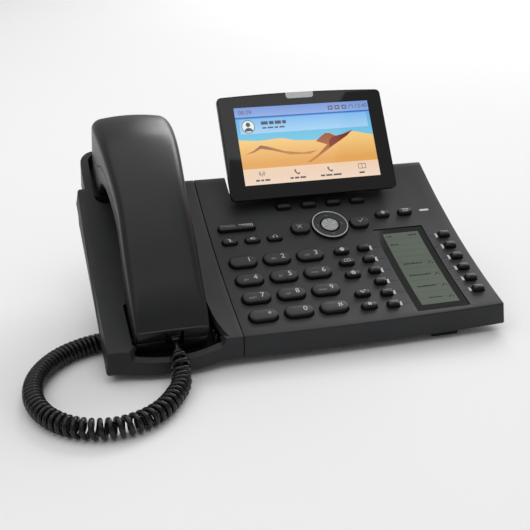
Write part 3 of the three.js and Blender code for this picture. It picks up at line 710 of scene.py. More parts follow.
def handset_half(y, upper, inset=0.0):
    """Half of a cross-section of the handset, above or below its parting line."""
    back, under, half, crown = between(HANDSET_STATIONS, y)
    middle = (back + under) / 2 + (PARTING_GAP / 2 if upper else -PARTING_GAP / 2)
    w = half - inset
    edge = (back - inset) if upper else (under + inset)
    way = 1 if upper else -1
    r = min(2.2 + 0.16 * (y - 5.4) if upper else 4.0, 5.5, abs(edge - middle) * 0.9, w / 2)
    side = [(w - 0.35, middle), (w, middle + way * 0.35)]
    corner = [
        (w - r + r * math.cos(a), edge - way * r + way * r * math.sin(a))
        for a in spread(0, math.pi / 2, SECTION_STEPS)
    ]
    across = [(w * t, edge) for t in (0.6, 0.4, 0.2, 0)]
    right = side + corner + across
    left = [(-x, z) for x, z in reversed(right[:-1])]
    points = []
    for x, z in right + left:
        lift = crown * max(0, 1 - (x / w) ** 2) * (abs(z - middle) / abs(edge - middle)) ** 3 if upper else 0
        points.append((HANDSET_X + x, y, z + lift))
    return points


def rounded_end(rings, depth, steps=4):
    """Rings that close one end of the handset with a rolled edge, shrinking on themselves."""
    extra = []
    for a in spread(0, math.pi / 2, steps)[1:]:
        shrink, push = depth * (1 - math.cos(a)), depth * math.sin(a)
        middle = sum((Vector(p) for p in rings[0]), Vector()) / len(rings[0])
        size = max((Vector(p) - middle).length for p in rings[0])
        way = Vector((0, 1 if rings[0][0][1] > rings[1][0][1] else -1, 0))
        extra.append([middle + (Vector(p) - middle) * (1 - shrink / size) + way * push for p in rings[0]])
    return list(reversed(extra))


def handset_shell(upper):
    ys = [5.4 + 0.9, 7, 8.2, 9.5, 11, *spread(13, 160, 49), 162, 164, 165.5, 166.6, 167.4]
    rings = [handset_half(y, upper) for y in ys]
    front = rounded_end(rings, 0.9, 3)
    rear = rounded_end(rings[::-1], 1.0, 3)
    return Form().loft(front + rings + rear[::-1])


def make_handset():
    """Two shells with a parting groove, the jack, the earpiece, the mouthpiece and screws."""
    x, z = HANDSET_JACK
    recess = Form().loft([rounded(x, z, 9.8 + g, 12.2 + g, 0.6, y) for g,
                          y in ((0.8, 4), (0, 6.6), (0, 14.4))])
    recess.points = [Vector((p.x, p.z, p.y)) for p in recess.points]
    back = make("handset_back", handset_shell(True), FACE, [HANDSET_PLASTIC, SHADE_AND_PRINT_BLACK],
                body="handset", replaces=["handset_back_shell"])
    inner = make("handset_inner", handset_shell(False), FACE, [HANDSET_PLASTIC, SHADE_AND_PRINT_BLACK],
                 body="handset", replaces=["handset_inner_shell"])
    for shell in (back, inner):
        shape_with(shell, recess)
    ear = Form()
    for ring, count in ((0, 1), (3, 6), (6, 12), (9, 18)):
        for i in range(count):
            a = 2 * math.pi * i / count
            ear.disc(HANDSET_X + ring * math.cos(a), 150 + ring * math.sin(a), -8, -3.4, 0.75, 0, 10)
    mouth = Form()
    for i in range(5):
        mouth.disc(HANDSET_X - 6 + 3 * i, 16, -12, -8.6, 0.6, 0, 10)
    shape_with(shape_with(inner, ear), mouth)
    seat = Form()
    for sx in (-8, 8):
        seat.disc(HANDSET_X + sx, 26, -10, -9.2, 2.2, 0, 20)
    make("handset_screw_covers", seat, FACE, [RUBBER], body="handset")
    make("handset_weight", Form().pad(HANDSET_X - 12, HANDSET_X + 12, 66, 104, 27, 33, 2, 1), FACE, [STEEL],
         body="handset")


# ------------------------------------------------------------------ casing


def casing_ring(x, inset, extra=0.0, edge=1.2, thin=0.0):
    """The casing's outline at one x: rounded front and rear edges, and plumb walls."""
    front, back = front_y(x) + thin + inset, FACE_LENGTH - thin - inset
    down = Vector((-math.sin(FACE_TILT), -math.cos(FACE_TILT)))
    outline = []

    def corner(at, before, after, radius):
        """An arc that rounds the corner between two directions, as seen from the corner."""
        half = math.acos(max(-1, min(1, before.dot(after)))) / 2
        reach = radius / math.tan(half)
        centre = at + (before + after).normalized() * (radius / math.sin(half))
        start, end = at + before * reach - centre, at + after * reach - centre
        sweep = math.atan2(start.x * end.y - start.y * end.x, start.dot(end))
        for i in range(5):
            a = sweep * i / 4
            outline.append(centre + Vector((
                start.x * math.cos(a) - start.y * math.sin(a),
                start.x * math.sin(a) + start.y * math.cos(a),
            )))

    top = [Vector((y, face_z(y) - thin - inset)) for y in spread(front, back, 26)]
    up_front, up_back = (top[1] - top[0]).normalized(), (top[-2] - top[-1]).normalized()
    corner(top[0], down, up_front, edge)
    outline += top[1:-1]
    corner(top[-1], up_back, down, edge)
    lower = 0.6 * inset
    outline.append(Vector((back, 0)) + down * (REAR_SKIRT + extra - lower))
    outline.append(Vector((front, 0)) + down * (FRONT_SKIRT + extra - lower))
    flare = -SIDE_FLARE if x < SEAM_X / 2 else SIDE_FLARE
    near_side = x <= WALL or x >= FACE_WIDTH - WALL
    last = len(outline) - 2
    return [
        Vector((x + (flare if near_side and i >= last and not thin else 0), p.x, p.y)) for i,
        p in enumerate(outline)
    ]


def casing_form(x0, x1, left_edge, right_edge, inner_steps=16):
    """The casing between two x positions with rolled side edges."""
    rings = [casing_ring(x0 + left_edge * (1 - math.cos(a)), left_edge * (1 - math.sin(a)))
             for a in spread(0, math.pi / 2, 4)]
    rings += [casing_ring(x, 0) for x in spread(x0 + left_edge, x1 - right_edge, inner_steps)[1:-1]]
    rings += [
        casing_ring(x1 - right_edge + right_edge * math.sin(a), right_edge * (1 - math.cos(a)))
        for a in spread(0, math.pi / 2, 4)
    ]
    return Form().loft(rings)


def casing_hollow(x0, x1):
    return Form().loft([casing_ring(x, 0, extra=2, edge=0.4, thin=WALL) for x in spread(x0, x1, 10)])


def hole(form, x, y, w, d, radius, flare=0.35, depth=9):
    """A cutter for an opening in the face with a small chamfer round its rim."""
    top = face_z(y)
    form.loft([
        rounded(x, y, w, d, radius, top - depth),
        rounded(x, y, w, d, radius, top - 0.55),
        rounded(x, y, w + 2 * flare, d + 2 * flare, radius + flare, top + 0.25),
        rounded(x, y, w + 8 * flare, d + 8 * flare, radius + 4 * flare, top + 4),
    ])


# ------------------------------------------------------------------ keys

NAV = (157.1, 87.7)
NAV_OUTER = 12.1
NAV_INNER = 6.3
NAV_BUTTON = 5.7
LCD = (185.3, 220, 2.7, 80.3)
NOTCH = (98, 210.5, 123.5, -11.3)

NUMBER_LEGENDS = {
    "1": "", "2": "abc", "3": "def", "4": "ghi", "5": "jkl", "6": "mno",
    "7": "pqrs", "8": "tuv", "9": "wxyz", "star": "", "0": "", "hash": "",
}


# The two columns of function keys: x, the y that row 0 would have, and the way to the label display.
FUNCTION_COLUMNS = {"left": (172.4, 74.8, 1), "right": (231.4, 79.7, -1)}
FUNCTION_PITCH = 10.63
# The status light's centre, width and depth on the face.
STATUS_LIGHT = (227.4, 94.3, 7.1, 2.0)


def key_table():
    """Every plain key: its name, centre, width, depth, height and corner radius."""
    keys = []
    for i, label in enumerate(NUMBER_LEGENDS):
        keys.append((f"key_{label}", 92.1 + 21.85 * (i % 3), 62.5 - 16 * (i // 3), 17.6, 9.4, 2.5, 4.4))
    for i, x in enumerate((131, 148.3, 165.7, 183)):
        keys.append((f"soft_key_{i + 1}", x, 108.2, 10, 4.2, 3.2, 1.7))
    for i, name in enumerate(("mute_key", "speaker_key", "headset_key")):
        keys.append((name, 88.2 + 14.8 * i, 81.4, 9.8, 4.8, 2.2, 2.1))
    for name, x, y in (
        ("dnd_key", 157.1, 63), ("directory_key", 157.2, 52.5), ("menu_key", 157.2, 41),
        ("transfer_key", 157.1, 23.2), ("hold_key", 157.2, 11.8),
        ("record_key", 196.1, 93), ("message_key", 212.5, 93.3),
    ):
        keys.append((name, x, y, 9.8, 4.8, 2.8, 2.1))
    for row in range(1, 7):
        for side, (x, y, _) in FUNCTION_COLUMNS.items():
            keys.append((f"function_key_{side}_{row}", x, y - FUNCTION_PITCH * row, 7.4, 4.6, 2.8, 1.2))
    return keys


KEYS = key_table()
SIDE_KEYS = [("cancel_key", NAV[0] - 20.4, 87.3), ("confirm_key", NAV[0] + 20.4, 87.3)]
SIDE_KEY_SIZE = (12.4, 9.2)
SIDE_KEY_HEIGHT = 2.8
VOLUME = (95.5, 93.2, 24.5, 4.8)
VOLUME_HEIGHT = 2.6
KEY_ROOT = 5
HOLE_GAP = 0.35


def key_cap(w, d, h, radius, roll=0.9, crown=0.18):
    """A key with a rolled edge and a faint crown, standing through the face."""
    rings = [rounded(0, 0, w, d, radius, z) for z in (-KEY_ROOT, h - roll - crown)]
    for a in spread(0, math.pi / 2, 4)[1:]:
        inset = roll * (1 - math.cos(a))
        rings.append(rounded(0, 0, w - 2 * inset, d - 2 * inset, radius - inset,
                             h - crown - roll + roll * math.sin(a)))
    for t in (0.66, 0.33):
        rings.append(rounded(0, 0, (w - 2 * roll) * t, (d - 2 * roll) * t, (radius - roll) * t,
                             h - crown * t * t))
    form = Form().loft(rings)
    count = len(rings[0])
    # The sides and rolled edge keep paint 0, the darker copy of the key plastic, as painted shade; the top
    # takes the lighter key plastic.
    for i in range(count * 5, len(form.faces)):
        form.paints[i] = 1
    return form


# ------------------------------------------------------------------ legends


def strokes(lines, width=0.32, z=0.0, thick=0.05, paint=2):
    """Flat strokes along lines of points, each a thin printed bar."""
    form = Form()
    for line in lines:
        for (ax, ay), (bx, by) in zip(line, line[1:]):
            length = math.hypot(bx - ax, by - ay)
            if length < 1e-6:
                continue
            ux, uy = (bx - ax) / length, (by - ay) / length
            nx, ny = -uy * width / 2, ux * width / 2
            ex, ey = ux * width * 0.35, uy * width * 0.35
            corners = [
                (ax - ex + nx, ay - ey + ny), (ax - ex - nx, ay - ey - ny),
                (bx + ex - nx, by + ey - ny), (bx + ex + nx, by + ey + ny),
            ]
            form.loft([[(*c, z - 0.3) for c in corners], [(*c, z + thick) for c in corners]], paint)
    return form


def arc(cx, cy, radius, start, end, steps=10):
    turns = [math.radians(start + (end - start) * i / steps) for i in range(steps + 1)]
    return [(cx + radius * math.cos(a), cy + radius * math.sin(a)) for a in turns]


def plate(points, z=0.0, thick=0.05, paint=2):
    """A filled printed shape."""
    return Form().loft([[(x, y, z - 0.3) for x, y in points], [(x, y, z + thick) for x, y in points]], paint)


def lettering(text, size, x, y, z=0.0, thick=0.05, paint=2, middle=True, bold=0.0):
    """Printed text from the built-in font, as a form centred on x, y."""
    curve = bpy.data.curves.new("text", "FONT")
    curve.body = text
    curve.size = size
    curve.extrude = thick / 2
    curve.offset = bold
    curve.resolution_u = 3
    curve.align_x = "CENTER" if middle else "LEFT"
    curve.align_y = "CENTER"
    words = bpy.data.objects.new("text", curve)
    bpy.context.scene.collection.objects.link(words)
    mesh = bpy.data.meshes.new_from_object(words)
    work = bmesh.new()
    work.from_mesh(mesh)
    bmesh.ops.remove_doubles(work, verts=work.verts, dist=0.0005)
    form = Form().add(
        [Vector((v.co.x + x, v.co.y + y, v.co.z + z + thick / 2)) for v in work.verts],
        [[v.index for v in f.verts] for f in work.faces], paint,
    )
    work.free()
    bpy.data.objects.remove(words)
    bpy.data.curves.remove(curve)
    bpy.data.meshes.remove(mesh)
    return form


def merged(*forms):
    whole = Form()
    for form in forms:
        start = len(whole.points)
        whole.points += form.points
        whole.faces += [tuple(start + i for i in face) for face in form.faces]
        whole.paints += form.paints
    return whole


def handpiece(x, y, size):
    """A little telephone handset icon."""
    turned = [(-0.5, 0.35), (-0.3, 0.5), (-0.15, 0.25), (-0.22, 0.12), (0.02, -0.2), (0.16, -0.22),
              (0.42, -0.15),
              (0.5, -0.35), (0.3, -0.5), (-0.05, -0.42), (-0.42, -0.02)]
    return plate([(x + px * size, y + py * size) for px, py in turned])


def icon(name):
    """The printed mark on a service key, a few millimetres across."""
    ring = strokes([arc(0, 0, 1.3, 0, 360, 16)], 0.3)
    marks = {
        "mute_key": lambda: merged(
            plate([*arc(0, 0.7, 0.5, 0, 180), *arc(0, -0.1, 0.5, 180, 360)]),
            strokes([arc(0, -0.1, 0.9, 190, 350), [(0, -1), (0, -1.5)], [(-1.4, 1.4), (1.4, -1.4)]], 0.22)),
        "speaker_key": lambda: merged(
            plate([(-1.6, 0.4), (-1, 0.4), (-0.2, 1.2), (-0.2, -1.2), (-1, -0.4), (-1.6, -0.4)]),
            strokes([arc(-0.4, 0, 1.1, -45, 45), arc(-0.4, 0, 1.8, -45, 45)], 0.26)),
        "headset_key": lambda: merged(
            strokes([arc(0, 0, 1.2, 0, 180)], 0.28),
            plate([(-1.5, 0.1), (-0.9, 0.1), (-0.9, -1.1), (-1.5, -1.1)]),
            plate([(0.9, 0.1), (1.5, 0.1), (1.5, -1.1), (0.9, -1.1)])),
        "dnd_key": lambda: merged(plate(arc(0, 0, 1.5, 0, 342, 19)),
                                  strokes([[(-0.8, 0), (0.8, 0)]], 0.42, 0.06, paint=1)),
        "directory_key": lambda: strokes([
            [(0, 1), (0, -1.1)], [(0, 1), (-1, 1.25), (-2, 1), (-2, -1.1), (-1, -0.85), (0, -1.1)],
            [(0, 1), (1, 1.25), (2, 1), (2, -1.1), (1, -0.85), (0, -1.1)]], 0.26),
        "menu_key": lambda: merged(plate(arc(0, 0, 1.1, 0, 345, 23)), *[
            strokes([[(1.1 * math.cos(a), 1.1 * math.sin(a)), (1.6 * math.cos(a), 1.6 * math.sin(a))]], 0.5)
            for a in spread(0, 2 * math.pi, 8)[:-1]],
            strokes([arc(0, 0, 0.4, 0, 360, 12)], 0.3, 0.06, paint=1)),
        "transfer_key": lambda: merged(handpiece(-0.5, -0.1, 2.2),
                                       strokes([[(0.2, 0.9), (1.8, 0.9)],
                                                [(1.2, 1.4), (1.8, 0.9), (1.2, 0.4)]], 0.26)),
        "hold_key": lambda: merged(
            plate([(-0.9, 1.2), (-0.25, 1.2), (-0.25, -1.2), (-0.9, -1.2)]),
            plate([(0.25, 1.2), (0.9, 1.2), (0.9, -1.2), (0.25, -1.2)])),
        "record_key": lambda: merged(ring, plate(arc(0, 0, 0.7, 0, 345, 23))),
        "message_key": lambda: strokes([
            [(-1.8, 1.1), (1.8, 1.1), (1.8, -1.1), (-1.8, -1.1), (-1.8, 1.1)],
            [(-1.8, 1.1), (0, -0.2), (1.8, 1.1)]], 0.28),
        "cancel_key": lambda: strokes([[(-1.4, 1.4), (1.4, -1.4)], [(-1.4, -1.4), (1.4, 1.4)]], 0.3),
        "confirm_key": lambda: strokes([[(-1.7, 0.1), (-0.4, -1.2), (1.8, 1.3)]], 0.3),
    }
    return marks[name]() if name in marks else None


def lifted(form, x, y, z):
    return form.moved(Matrix.Translation((x, y, z)))


def make_keys():
    for name, x, y, w, d, h, radius in KEYS:
        form = key_cap(w, d, h, radius, 1.1 if h > 2 else 0.7)
        legend = name.removeprefix("key_")
        if legend in NUMBER_LEGENDS:
            digit = {"star": "*", "hash": "#"}.get(legend, legend)
            form = merged(form, lettering(digit, 5.4, 3.8, 0.4 if digit != "*" else -0.6, h - 0.05))
            if NUMBER_LEGENDS[legend]:
                form = merged(form, lettering(NUMBER_LEGENDS[legend], 2.6, -2.4, -0.9, h - 0.04, paint=3))
            if legend == "5":
                form.disc(0.9, -3.1, h - 0.4, h + 0.1, 0.5, 1, 12, 0.15)
        elif icon(name):
            form = merged(form, lifted(icon(name), 0, 0.1, h - 0.05))
        make(name, form, on_face(x, y), [KEY_SIDE_SHADE, KEY_PLASTIC, INK_WHITE, INK_GREY], body=name,
             replaces=[name])


def side_key(x):
    """A key beside the round one: a rounded block hollowed to the round key's curve."""
    w, d = SIDE_KEY_SIZE
    h = SIDE_KEY_HEIGHT
    way = 1 if x > NAV[0] else -1
    reach = NAV_OUTER + 2.2
    away, dy = abs(x - NAV[0]), NAV[1] - SIDE_KEYS[0][2]

    def ring(inset, z):
        outer = [(p[0], p[1]) for p in rounded(0, 0, w - 2 * inset, d - 2 * inset, 3.9 - inset, z)]
        limit = reach + inset
        points = []
        for px, py in outer:
            across = math.sqrt(max(0, limit**2 - (py - dy) ** 2)) - away
            points.append((max(px * way, across) * way, py, z))
        return points

    rings = [ring(0, -KEY_ROOT), ring(0, h - 0.8)]
    rings += [ring(0.8 * (1 - math.cos(a)), h - 0.8 + 0.8 * math.sin(a))
              for a in spread(0, math.pi / 2, 4)[1:]]
    form = Form().loft(rings)
    # The sides and the start of the rolled edge keep the darker copy of the key plastic as painted shade; the
    # rest of the edge and the top take the lighter key plastic.
    for i in range(len(rings[0]) * 2, len(form.faces)):
        form.paints[i] = 1
    return form


def make_navigation():
    for name, x, y in SIDE_KEYS:
        form = merged(side_key(x),
                      lifted(icon(name), 0.8 if x > NAV[0] else -0.8, 0.3, SIDE_KEY_HEIGHT - 0.04))
        make(name, form, on_face(x, y), [KEY_SIDE_SHADE, KEY_PLASTIC, INK_WHITE], body=name, replaces=[name])

    x, y, w, d = VOLUME
    form = key_cap(w, d, VOLUME_HEIGHT, 1.9, 0.6, 0.1)
    # A thin bar down the rocker's middle in the darker side material: painted shade along the split between
    # its two halves.
    form.box(-0.25, 0.25, -d / 2 + 0.3, d / 2 - 0.3, VOLUME_HEIGHT - 0.3, VOLUME_HEIGHT + 0.04)
    for i in range(9):
        for side, paint, tall in ((-1, 3, 1.7 - 0.1 * i), (1, 2, 1.0 + 0.17 * i)):
            place = side * (1.7 + 1.05 * i)
            top = 1.5 if side > 0 else 1.2
            form.box(place - 0.2, place + 0.2, top - tall, top, VOLUME_HEIGHT - 0.4, VOLUME_HEIGHT + 0.12,
                     paint)
    make("volume_rocker", form, on_face(x, y), [KEY_SIDE_SHADE, KEY_PLASTIC, INK_WHITE, INK_GREY],
         body="volume_rocker",
         replaces=["volume_rocker"])

    ring = Form()
    profile = [(NAV_OUTER - 0.1, -5), (NAV_OUTER - 0.1, 1.5), (NAV_OUTER - 0.45, 1.95),
               (NAV_OUTER - 0.75, 1.75),
               (9.6, 1.5), (NAV_INNER + 0.5, 1.55), (NAV_INNER + 0.1, 1.2), (NAV_INNER + 0.1, -5)]
    ring.loft([circle(0, 0, z, r, 64) for r, z in profile + profile[:1]], 0, caps=False)
    form = merged(ring, *[
        strokes([[(7.9 * math.cos(a) - 0.9 * math.sin(a), 7.9 * math.sin(a) + 0.9 * math.cos(a)),
                  (8.8 * math.cos(a), 8.8 * math.sin(a)),
                  (7.9 * math.cos(a) + 0.9 * math.sin(a), 7.9 * math.sin(a) - 0.9 * math.cos(a))]], 0.2, 1.5,
                  0.08, 1)
        for a in (0, math.pi / 2, math.pi, 3 * math.pi / 2)])
    make("nav_ring", form, on_face(*NAV), [KEY_PLASTIC, INK_GREY], body="nav_ring", replaces=["nav_ring"],
         smooth=30)
    rim = [(NAV_OUTER - 0.95, 1.5), (NAV_OUTER - 0.95, 2.05), (NAV_OUTER - 0.8, 2.25),
           (NAV_OUTER - 0.2, 2.25),
           (NAV_OUTER, 2.05), (NAV_OUTER, 1.2), (NAV_OUTER - 0.3, 1.2), (NAV_OUTER - 0.3, 1.5)]
    trim = Form().loft([circle(0, 0, z, r, 72) for r, z in rim + rim[:1]], 0, caps=False)
    make("nav_trim_ring", trim, on_face(*NAV), [SILVER], body="nav_ring")
    button = [(NAV_BUTTON, -5), (NAV_BUTTON, 1.7), (NAV_BUTTON - 0.3, 2.0), (NAV_BUTTON - 0.6, 2.05),
              (3, 1.9), (0.6, 1.86)]
    cap = Form().loft([circle(0, 0, z, r, 48) for r, z in button])
    make("nav_button", cap, on_face(*NAV), [SPUN_SILVER_WITH_SHEEN], body="nav_button", replaces=["nav_button"])


# ------------------------------------------------------------------ covers

MOUTH_POCKET = (14.2, 62.5, 40, -10.5)
EAR_POCKET = (10, 63.5, 126, 169.2, -5.5)
TONGUE = (4.8, 66, 137, 171.5, 13)
HOOK = (31, 43, 138, 151)
LIP_TOP = -4
LIP_SLOPE = 0.19


def make_top_cover():
    """The face plate on the right with its key holes, the display's notch and the label well."""
    plate_piece = make("top_cover", casing_form(SEAM_X + 0.15, FACE_WIDTH, 0.4, 1.5, 22), FACE,
                       [FACE_PLASTIC, SHADE_AND_PRINT_BLACK], replaces=["top_cover"])
    shape_with(plate_piece, casing_hollow(SEAM_X - 1, FACE_WIDTH - WALL))
    openings = Form()
    for _, x, y, w, d, _, radius in KEYS:
        hole(openings, x, y, w + 2 * HOLE_GAP, d + 2 * HOLE_GAP, radius + HOLE_GAP, 0.25)
    for _, x, y in SIDE_KEYS:
        hole(openings, x, y, SIDE_KEY_SIZE[0] + 2 * HOLE_GAP, SIDE_KEY_SIZE[1] + 2 * HOLE_GAP, 4.2, 0.2)
    x, y, w, d = VOLUME
    hole(openings, x, y, w + 2 * HOLE_GAP, d + 2 * HOLE_GAP, 2.3, 0.25)
    shape_with(plate_piece, openings)
    nav = Form().loft([
        circle(*NAV, face_z(NAV[1]) + z, r, 64)
        for z, r in ((-9, NAV_OUTER + 0.4), (-0.5, NAV_OUTER + 0.4), (0.3, NAV_OUTER + 0.75),
                     (4, NAV_OUTER + 2))
    ])
    shape_with(plate_piece, nav)
    x0, x1, y0, y1 = LCD
    shape_with(plate_piece, Form().loft([
        [(x0 - g, y0 - g, z), (x1 + g, y0 - g, z), (x1 + g, y1 + g, z), (x0 - g, y1 + g, z)]
        for g, z in ((0.1, -14), (0.1, 6))
    ]))
    x0, x1, y, floor = NOTCH
    shape_with(plate_piece, Form().box(x0, x1, y, 160, -40, 20))
    light_x, light_y, w, d = STATUS_LIGHT
    lamp = Form().loft([
        rounded(light_x, light_y, w + 0.1, d * (w + 0.1) / w, w + 0.1, z, 8) for z in (-9, 6)
    ])
    shape_with(plate_piece, lamp)
    notch = Form()
    notch.box(x0 - 0.9, x1 + 0.9, y - 1.9, y - 0.7, floor + 1, face_z(y) - 0.6)
    notch.box(x0 - 1.6, x0 - 0.5, y - 1.9, FACE_LENGTH - 2.6, floor + 1, face_z(y) - 0.6)
    notch.box(x1 + 0.5, x1 + 1.6, y - 1.9, FACE_LENGTH - 2.6, floor + 1, face_z(y) - 0.6)
    make("notch_walls", notch, FACE, [CASE_PLASTIC])
    light = Form().loft([
        rounded(0, 0, w - g, d - g, 1, z, 8) for g, z in ((0, -3), (0, -0.15), (0.3, 0.05), (0.8, 0.12))
    ])
    make("status_light", light, on_face(light_x, light_y), [INK_WHITE])


def label_marks():
    """The white markers by the function keys and the fine lines that lead to their rows."""
    form = Form()
    for row in range(1, 7):
        for x, top_y, way in FUNCTION_COLUMNS.values():
            y = top_y - FUNCTION_PITCH * row
            near = x + way * 4.4
            far = x + way * 5.9
            top = face_z(y)
            form.loft([
                [(near, y - 1.2, top + z), (far, y - 2.3, top + z), (far, y + 2.3, top + z),
                 (near, y + 1.2, top + z)]
                for z in (-0.6, 0.12)
            ])
            start, end = sorted((x + way * 7.2, x + way * (11.6 if way > 0 else 10.4)))
            form.box(start, end, y - 0.15, y + 0.15, top - 0.5, top + 0.03, 1)
    return form


def make_label_display():
    """The tall label display: a dark glossy window with a grey-green field laid on it."""
    x0, x1, y0, y1 = LCD
    def sheet_form(xa, xb, ya, yb, lift, thick, paint=0):
        rows = spread(ya, yb, 12)
        upper = [[(xa, y, face_z(y) + lift), (xb, y, face_z(y) + lift)] for y in rows]
        rings = [[*u, (xb, y, face_z(y) + lift - thick), (xa, y, face_z(y) + lift - thick)] for u,
                 y in zip(upper, rows)]
        return Form().loft(rings, paint)

    make("label_window", sheet_form(x0 + 0.2, x1 - 0.2, y0 + 0.2, y1 - 0.2, -0.55, 2.4), FACE, [LABEL_GLASS],
         replaces=["lcd_window"])
    field = (190.4, 215.4, 8.2, 75.8)
    make("label_field", sheet_form(*field, -0.5, 0.5), FACE, [LCD_FIELD])
    marks = Form()
    wide = field[1] - field[0]
    for i in range(1, 12):
        y = field[2] + (field[3] - field[2]) * i / 12
        marks = merged(marks, sheet_form(field[0] + 0.8, field[1] - 0.8, y - 0.09, y + 0.09, -0.47, 0.3, 0))
    rows = [(0.06, 0.16, 11.45), (0.66, 0.26, 11.45), (0.08, 0.2, 10.1), (0.13, 0.52, 6.75),
            (0.13, 0.58, 4.8),
            (0.16, 0.5, 2.9), (0.3, 0.34, 1.0)]
    for at, share, row in rows:
        y = field[2] + (field[3] - field[2]) * row / 12
        x, end = field[0] + at * wide, field[0] + (at + share) * wide
        while x < end:
            step = random.uniform(0.55, 1.3)
            tall = random.choice((0.8, 0.8, 1.2))
            marks = merged(marks, sheet_form(x, min(x + step, end), y - 0.4, y - 0.4 + tall, -0.46, 0.3, 1))
            x += step + 0.28
    for row in (6.75, 4.8, 2.9, 1.0):
        y = field[2] + (field[3] - field[2]) * row / 12
        for dx, dy, size in ((0, 0.3, 1.0), (-1.3, -1.0, 0.8), (1.3, -1.0, 0.8)):
            cx = field[1] - 3.2 + dx
            marks = merged(marks,
                           sheet_form(cx - size / 2, cx + size / 2, y + dy - size / 2, y + dy + size / 2,
                                      -0.46, 0.3, 1))
    make("label_marks", marks, FACE, [LCD_LINE, LCD_INK])
    make("function_key_markers", label_marks(), FACE, [INK_WHITE, SHADE_AND_PRINT_BLACK])


def cradle_pocket():
    """The cutter for the mouthpiece pocket: plumb sides that flare out at the front right."""
    x0, x1, _, floor = MOUTH_POCKET

    def front(x):
        t = (x - 37.3) / 24.7
        return 5.2 - 4.6 * (1 - t * t)

    def ring(z, flare, back, rim=0.0):
        points = [(x, front(x) - rim, z) for x in spread(x0 - rim, x1 - 0.5, 10)]
        points.append((x1 + 6.2 * flare + rim, 1.6 - rim + 1.5 * (1 - flare), z))
        points.append((x1 + 4.3 * flare + rim, 10.7, z))
        points.append((x1 + 2.4 * flare + rim, 20.5, z))
        points.append((x1 + rim, back - 3, z))
        points.append((x1 - 3, back + rim, z))
        points.append((x0 + 3, back + rim, z))
        points.append((x0 - rim, back - 3, z))
        return points

    return Form().loft([
        ring(floor, 0, 41), ring(-5.5, 0.06, 41), ring(-3, 0.45, 41), ring(-0.4, 1, 41),
        ring(0.4, 1.05, 41.2, 0.3),
        ring(9, 1.3, 42, 2),
    ])


def lip_cutter():
    """The cutter that lowers the casing's front edge into a lip between two soft shoulders."""
    low = LIP_TOP

    def shoulder(x, way, width=4.4):
        points = []
        for t in spread(0, 1, 8):
            s = t * t * (3 - 2 * t)
            points.append((x + way * width * t, low * s))
        return points

    rings = []
    for y, inward in ((-12, 0), (-5, 0), (0, 3.2), (5, 5.2)):
        left = shoulder(8.6 + inward, 1)
        right = shoulder(68.9 - 0.4 * inward, -1)
        outline = [(7.4 + inward, 9), (8.2 + inward, 0.4), *left, *reversed(right), (69.3, 0.4), (70, 9)]
        rings.append([(x, y, z + LIP_SLOPE * y if z < 0.3 else z) for x, z in outline])
    return Form().loft(rings)


def make_cradle():
    """The cradle cover: its pockets, lip, tongue, hook slot and guide ribs."""
    cover = make("cradle_cover", casing_form(0, SEAM_X - 0.15, 1.6, 0.4, 26), FACE,
                 [FACE_PLASTIC, SHADE_AND_PRINT_BLACK],
                 replaces=["cradle_cover"])
    x0, x1, y0, y1, depth = TONGUE

    def tongue(z, inset):
        points = [(x0 + inset, y0 - 2, z), (x1 - inset, y0 - 2, z)]
        for i in range(7):
            a = i / 6 * math.pi / 2
            points.append((x1 - 10 + (10 - inset) * math.cos(a), y1 - 10 + (10 - inset) * math.sin(a), z))
        for i in range(7):
            a = math.pi / 2 + i / 6 * math.pi / 2
            points.append((x0 + 10 + (10 - inset) * math.cos(a), y1 - 10 + (10 - inset) * math.sin(a), z))
        return points

    block = Form().loft([tongue(-depth, 0.5), tongue(-depth + 0.6, 0), tongue(12, 0)])
    above = Form()
    rows = spread(100, 182, 16)
    outline = [(y, face_z(y)) for y in rows] + [(182, 60), (100, 60)]
    above.loft([[(x, y, z) for y, z in outline] for x in (-10, 90)])
    extra = make("tongue", block, FACE, [FACE_PLASTIC], body=None)
    shape_with(extra, above)
    cover = join_onto(cover, extra)
    shape_with(cover, lip_cutter())
    shape_with(cover, casing_hollow(WALL, SEAM_X + 1))
    shape_with(cover, cradle_pocket())
    ex0, ex1, ey0, ey1, floor = EAR_POCKET
    centre = ((ex0 + ex1) / 2, (ey0 + ey1) / 2)
    shape_with(cover, Form().loft([
        rounded(*centre, ex1 - ex0 + g, ey1 - ey0 + g, 7 + g / 2, z, 8)
        for g, z in ((-1.2, floor), (0, floor + 0.8), (0, 3.2), (1.6, 6.2), (6, 20))
    ]))
    shape_with(cover, Form().box(HOOK[0] - 0.3, HOOK[1] + 0.3, HOOK[2] - 0.3, HOOK[3] + 0.3, -30, 10))
    # A near-black sheet on the pocket's floor: painted shade in the deep pocket.
    floor_form = Form()
    floor_form.box(x0 + 9, MOUTH_POCKET[1] + 4, 0.5, 42, MOUTH_POCKET[3] - 1.4, MOUTH_POCKET[3] + 0.05)
    make("mouth_pocket_floor", floor_form, FACE, [SHADE_AND_PRINT_BLACK])
    ribs = Form()
    for x in (15.2, 61.6):
        ribs.pad(x - 0.45, x + 0.45, 3.6, 4.8, -9.5, -2.2, 0.4, 0.3)
        ribs.pad(x - 0.45, x + 0.45, 9.6, 10.8, -9.5, -3.0, 0.4, 0.3)
    make("cradle_guide_ribs", ribs, FACE, [FACE_PLASTIC])


def join_onto(piece, other):
    """Joins another piece's solid onto a piece."""
    change = piece.modifiers.new("join", "BOOLEAN")
    change.operation = "UNION"
    change.solver = "EXACT"
    change.object = other
    bpy.context.view_layer.update()
    result = bpy.data.meshes.new_from_object(piece.evaluated_get(bpy.context.evaluated_depsgraph_get()))
    piece.modifiers.clear()
    piece.data = result
    tidy_mesh(result, 38)
    bpy.data.objects.remove(other)
    return piece


# ------------------------------------------------------------------ display


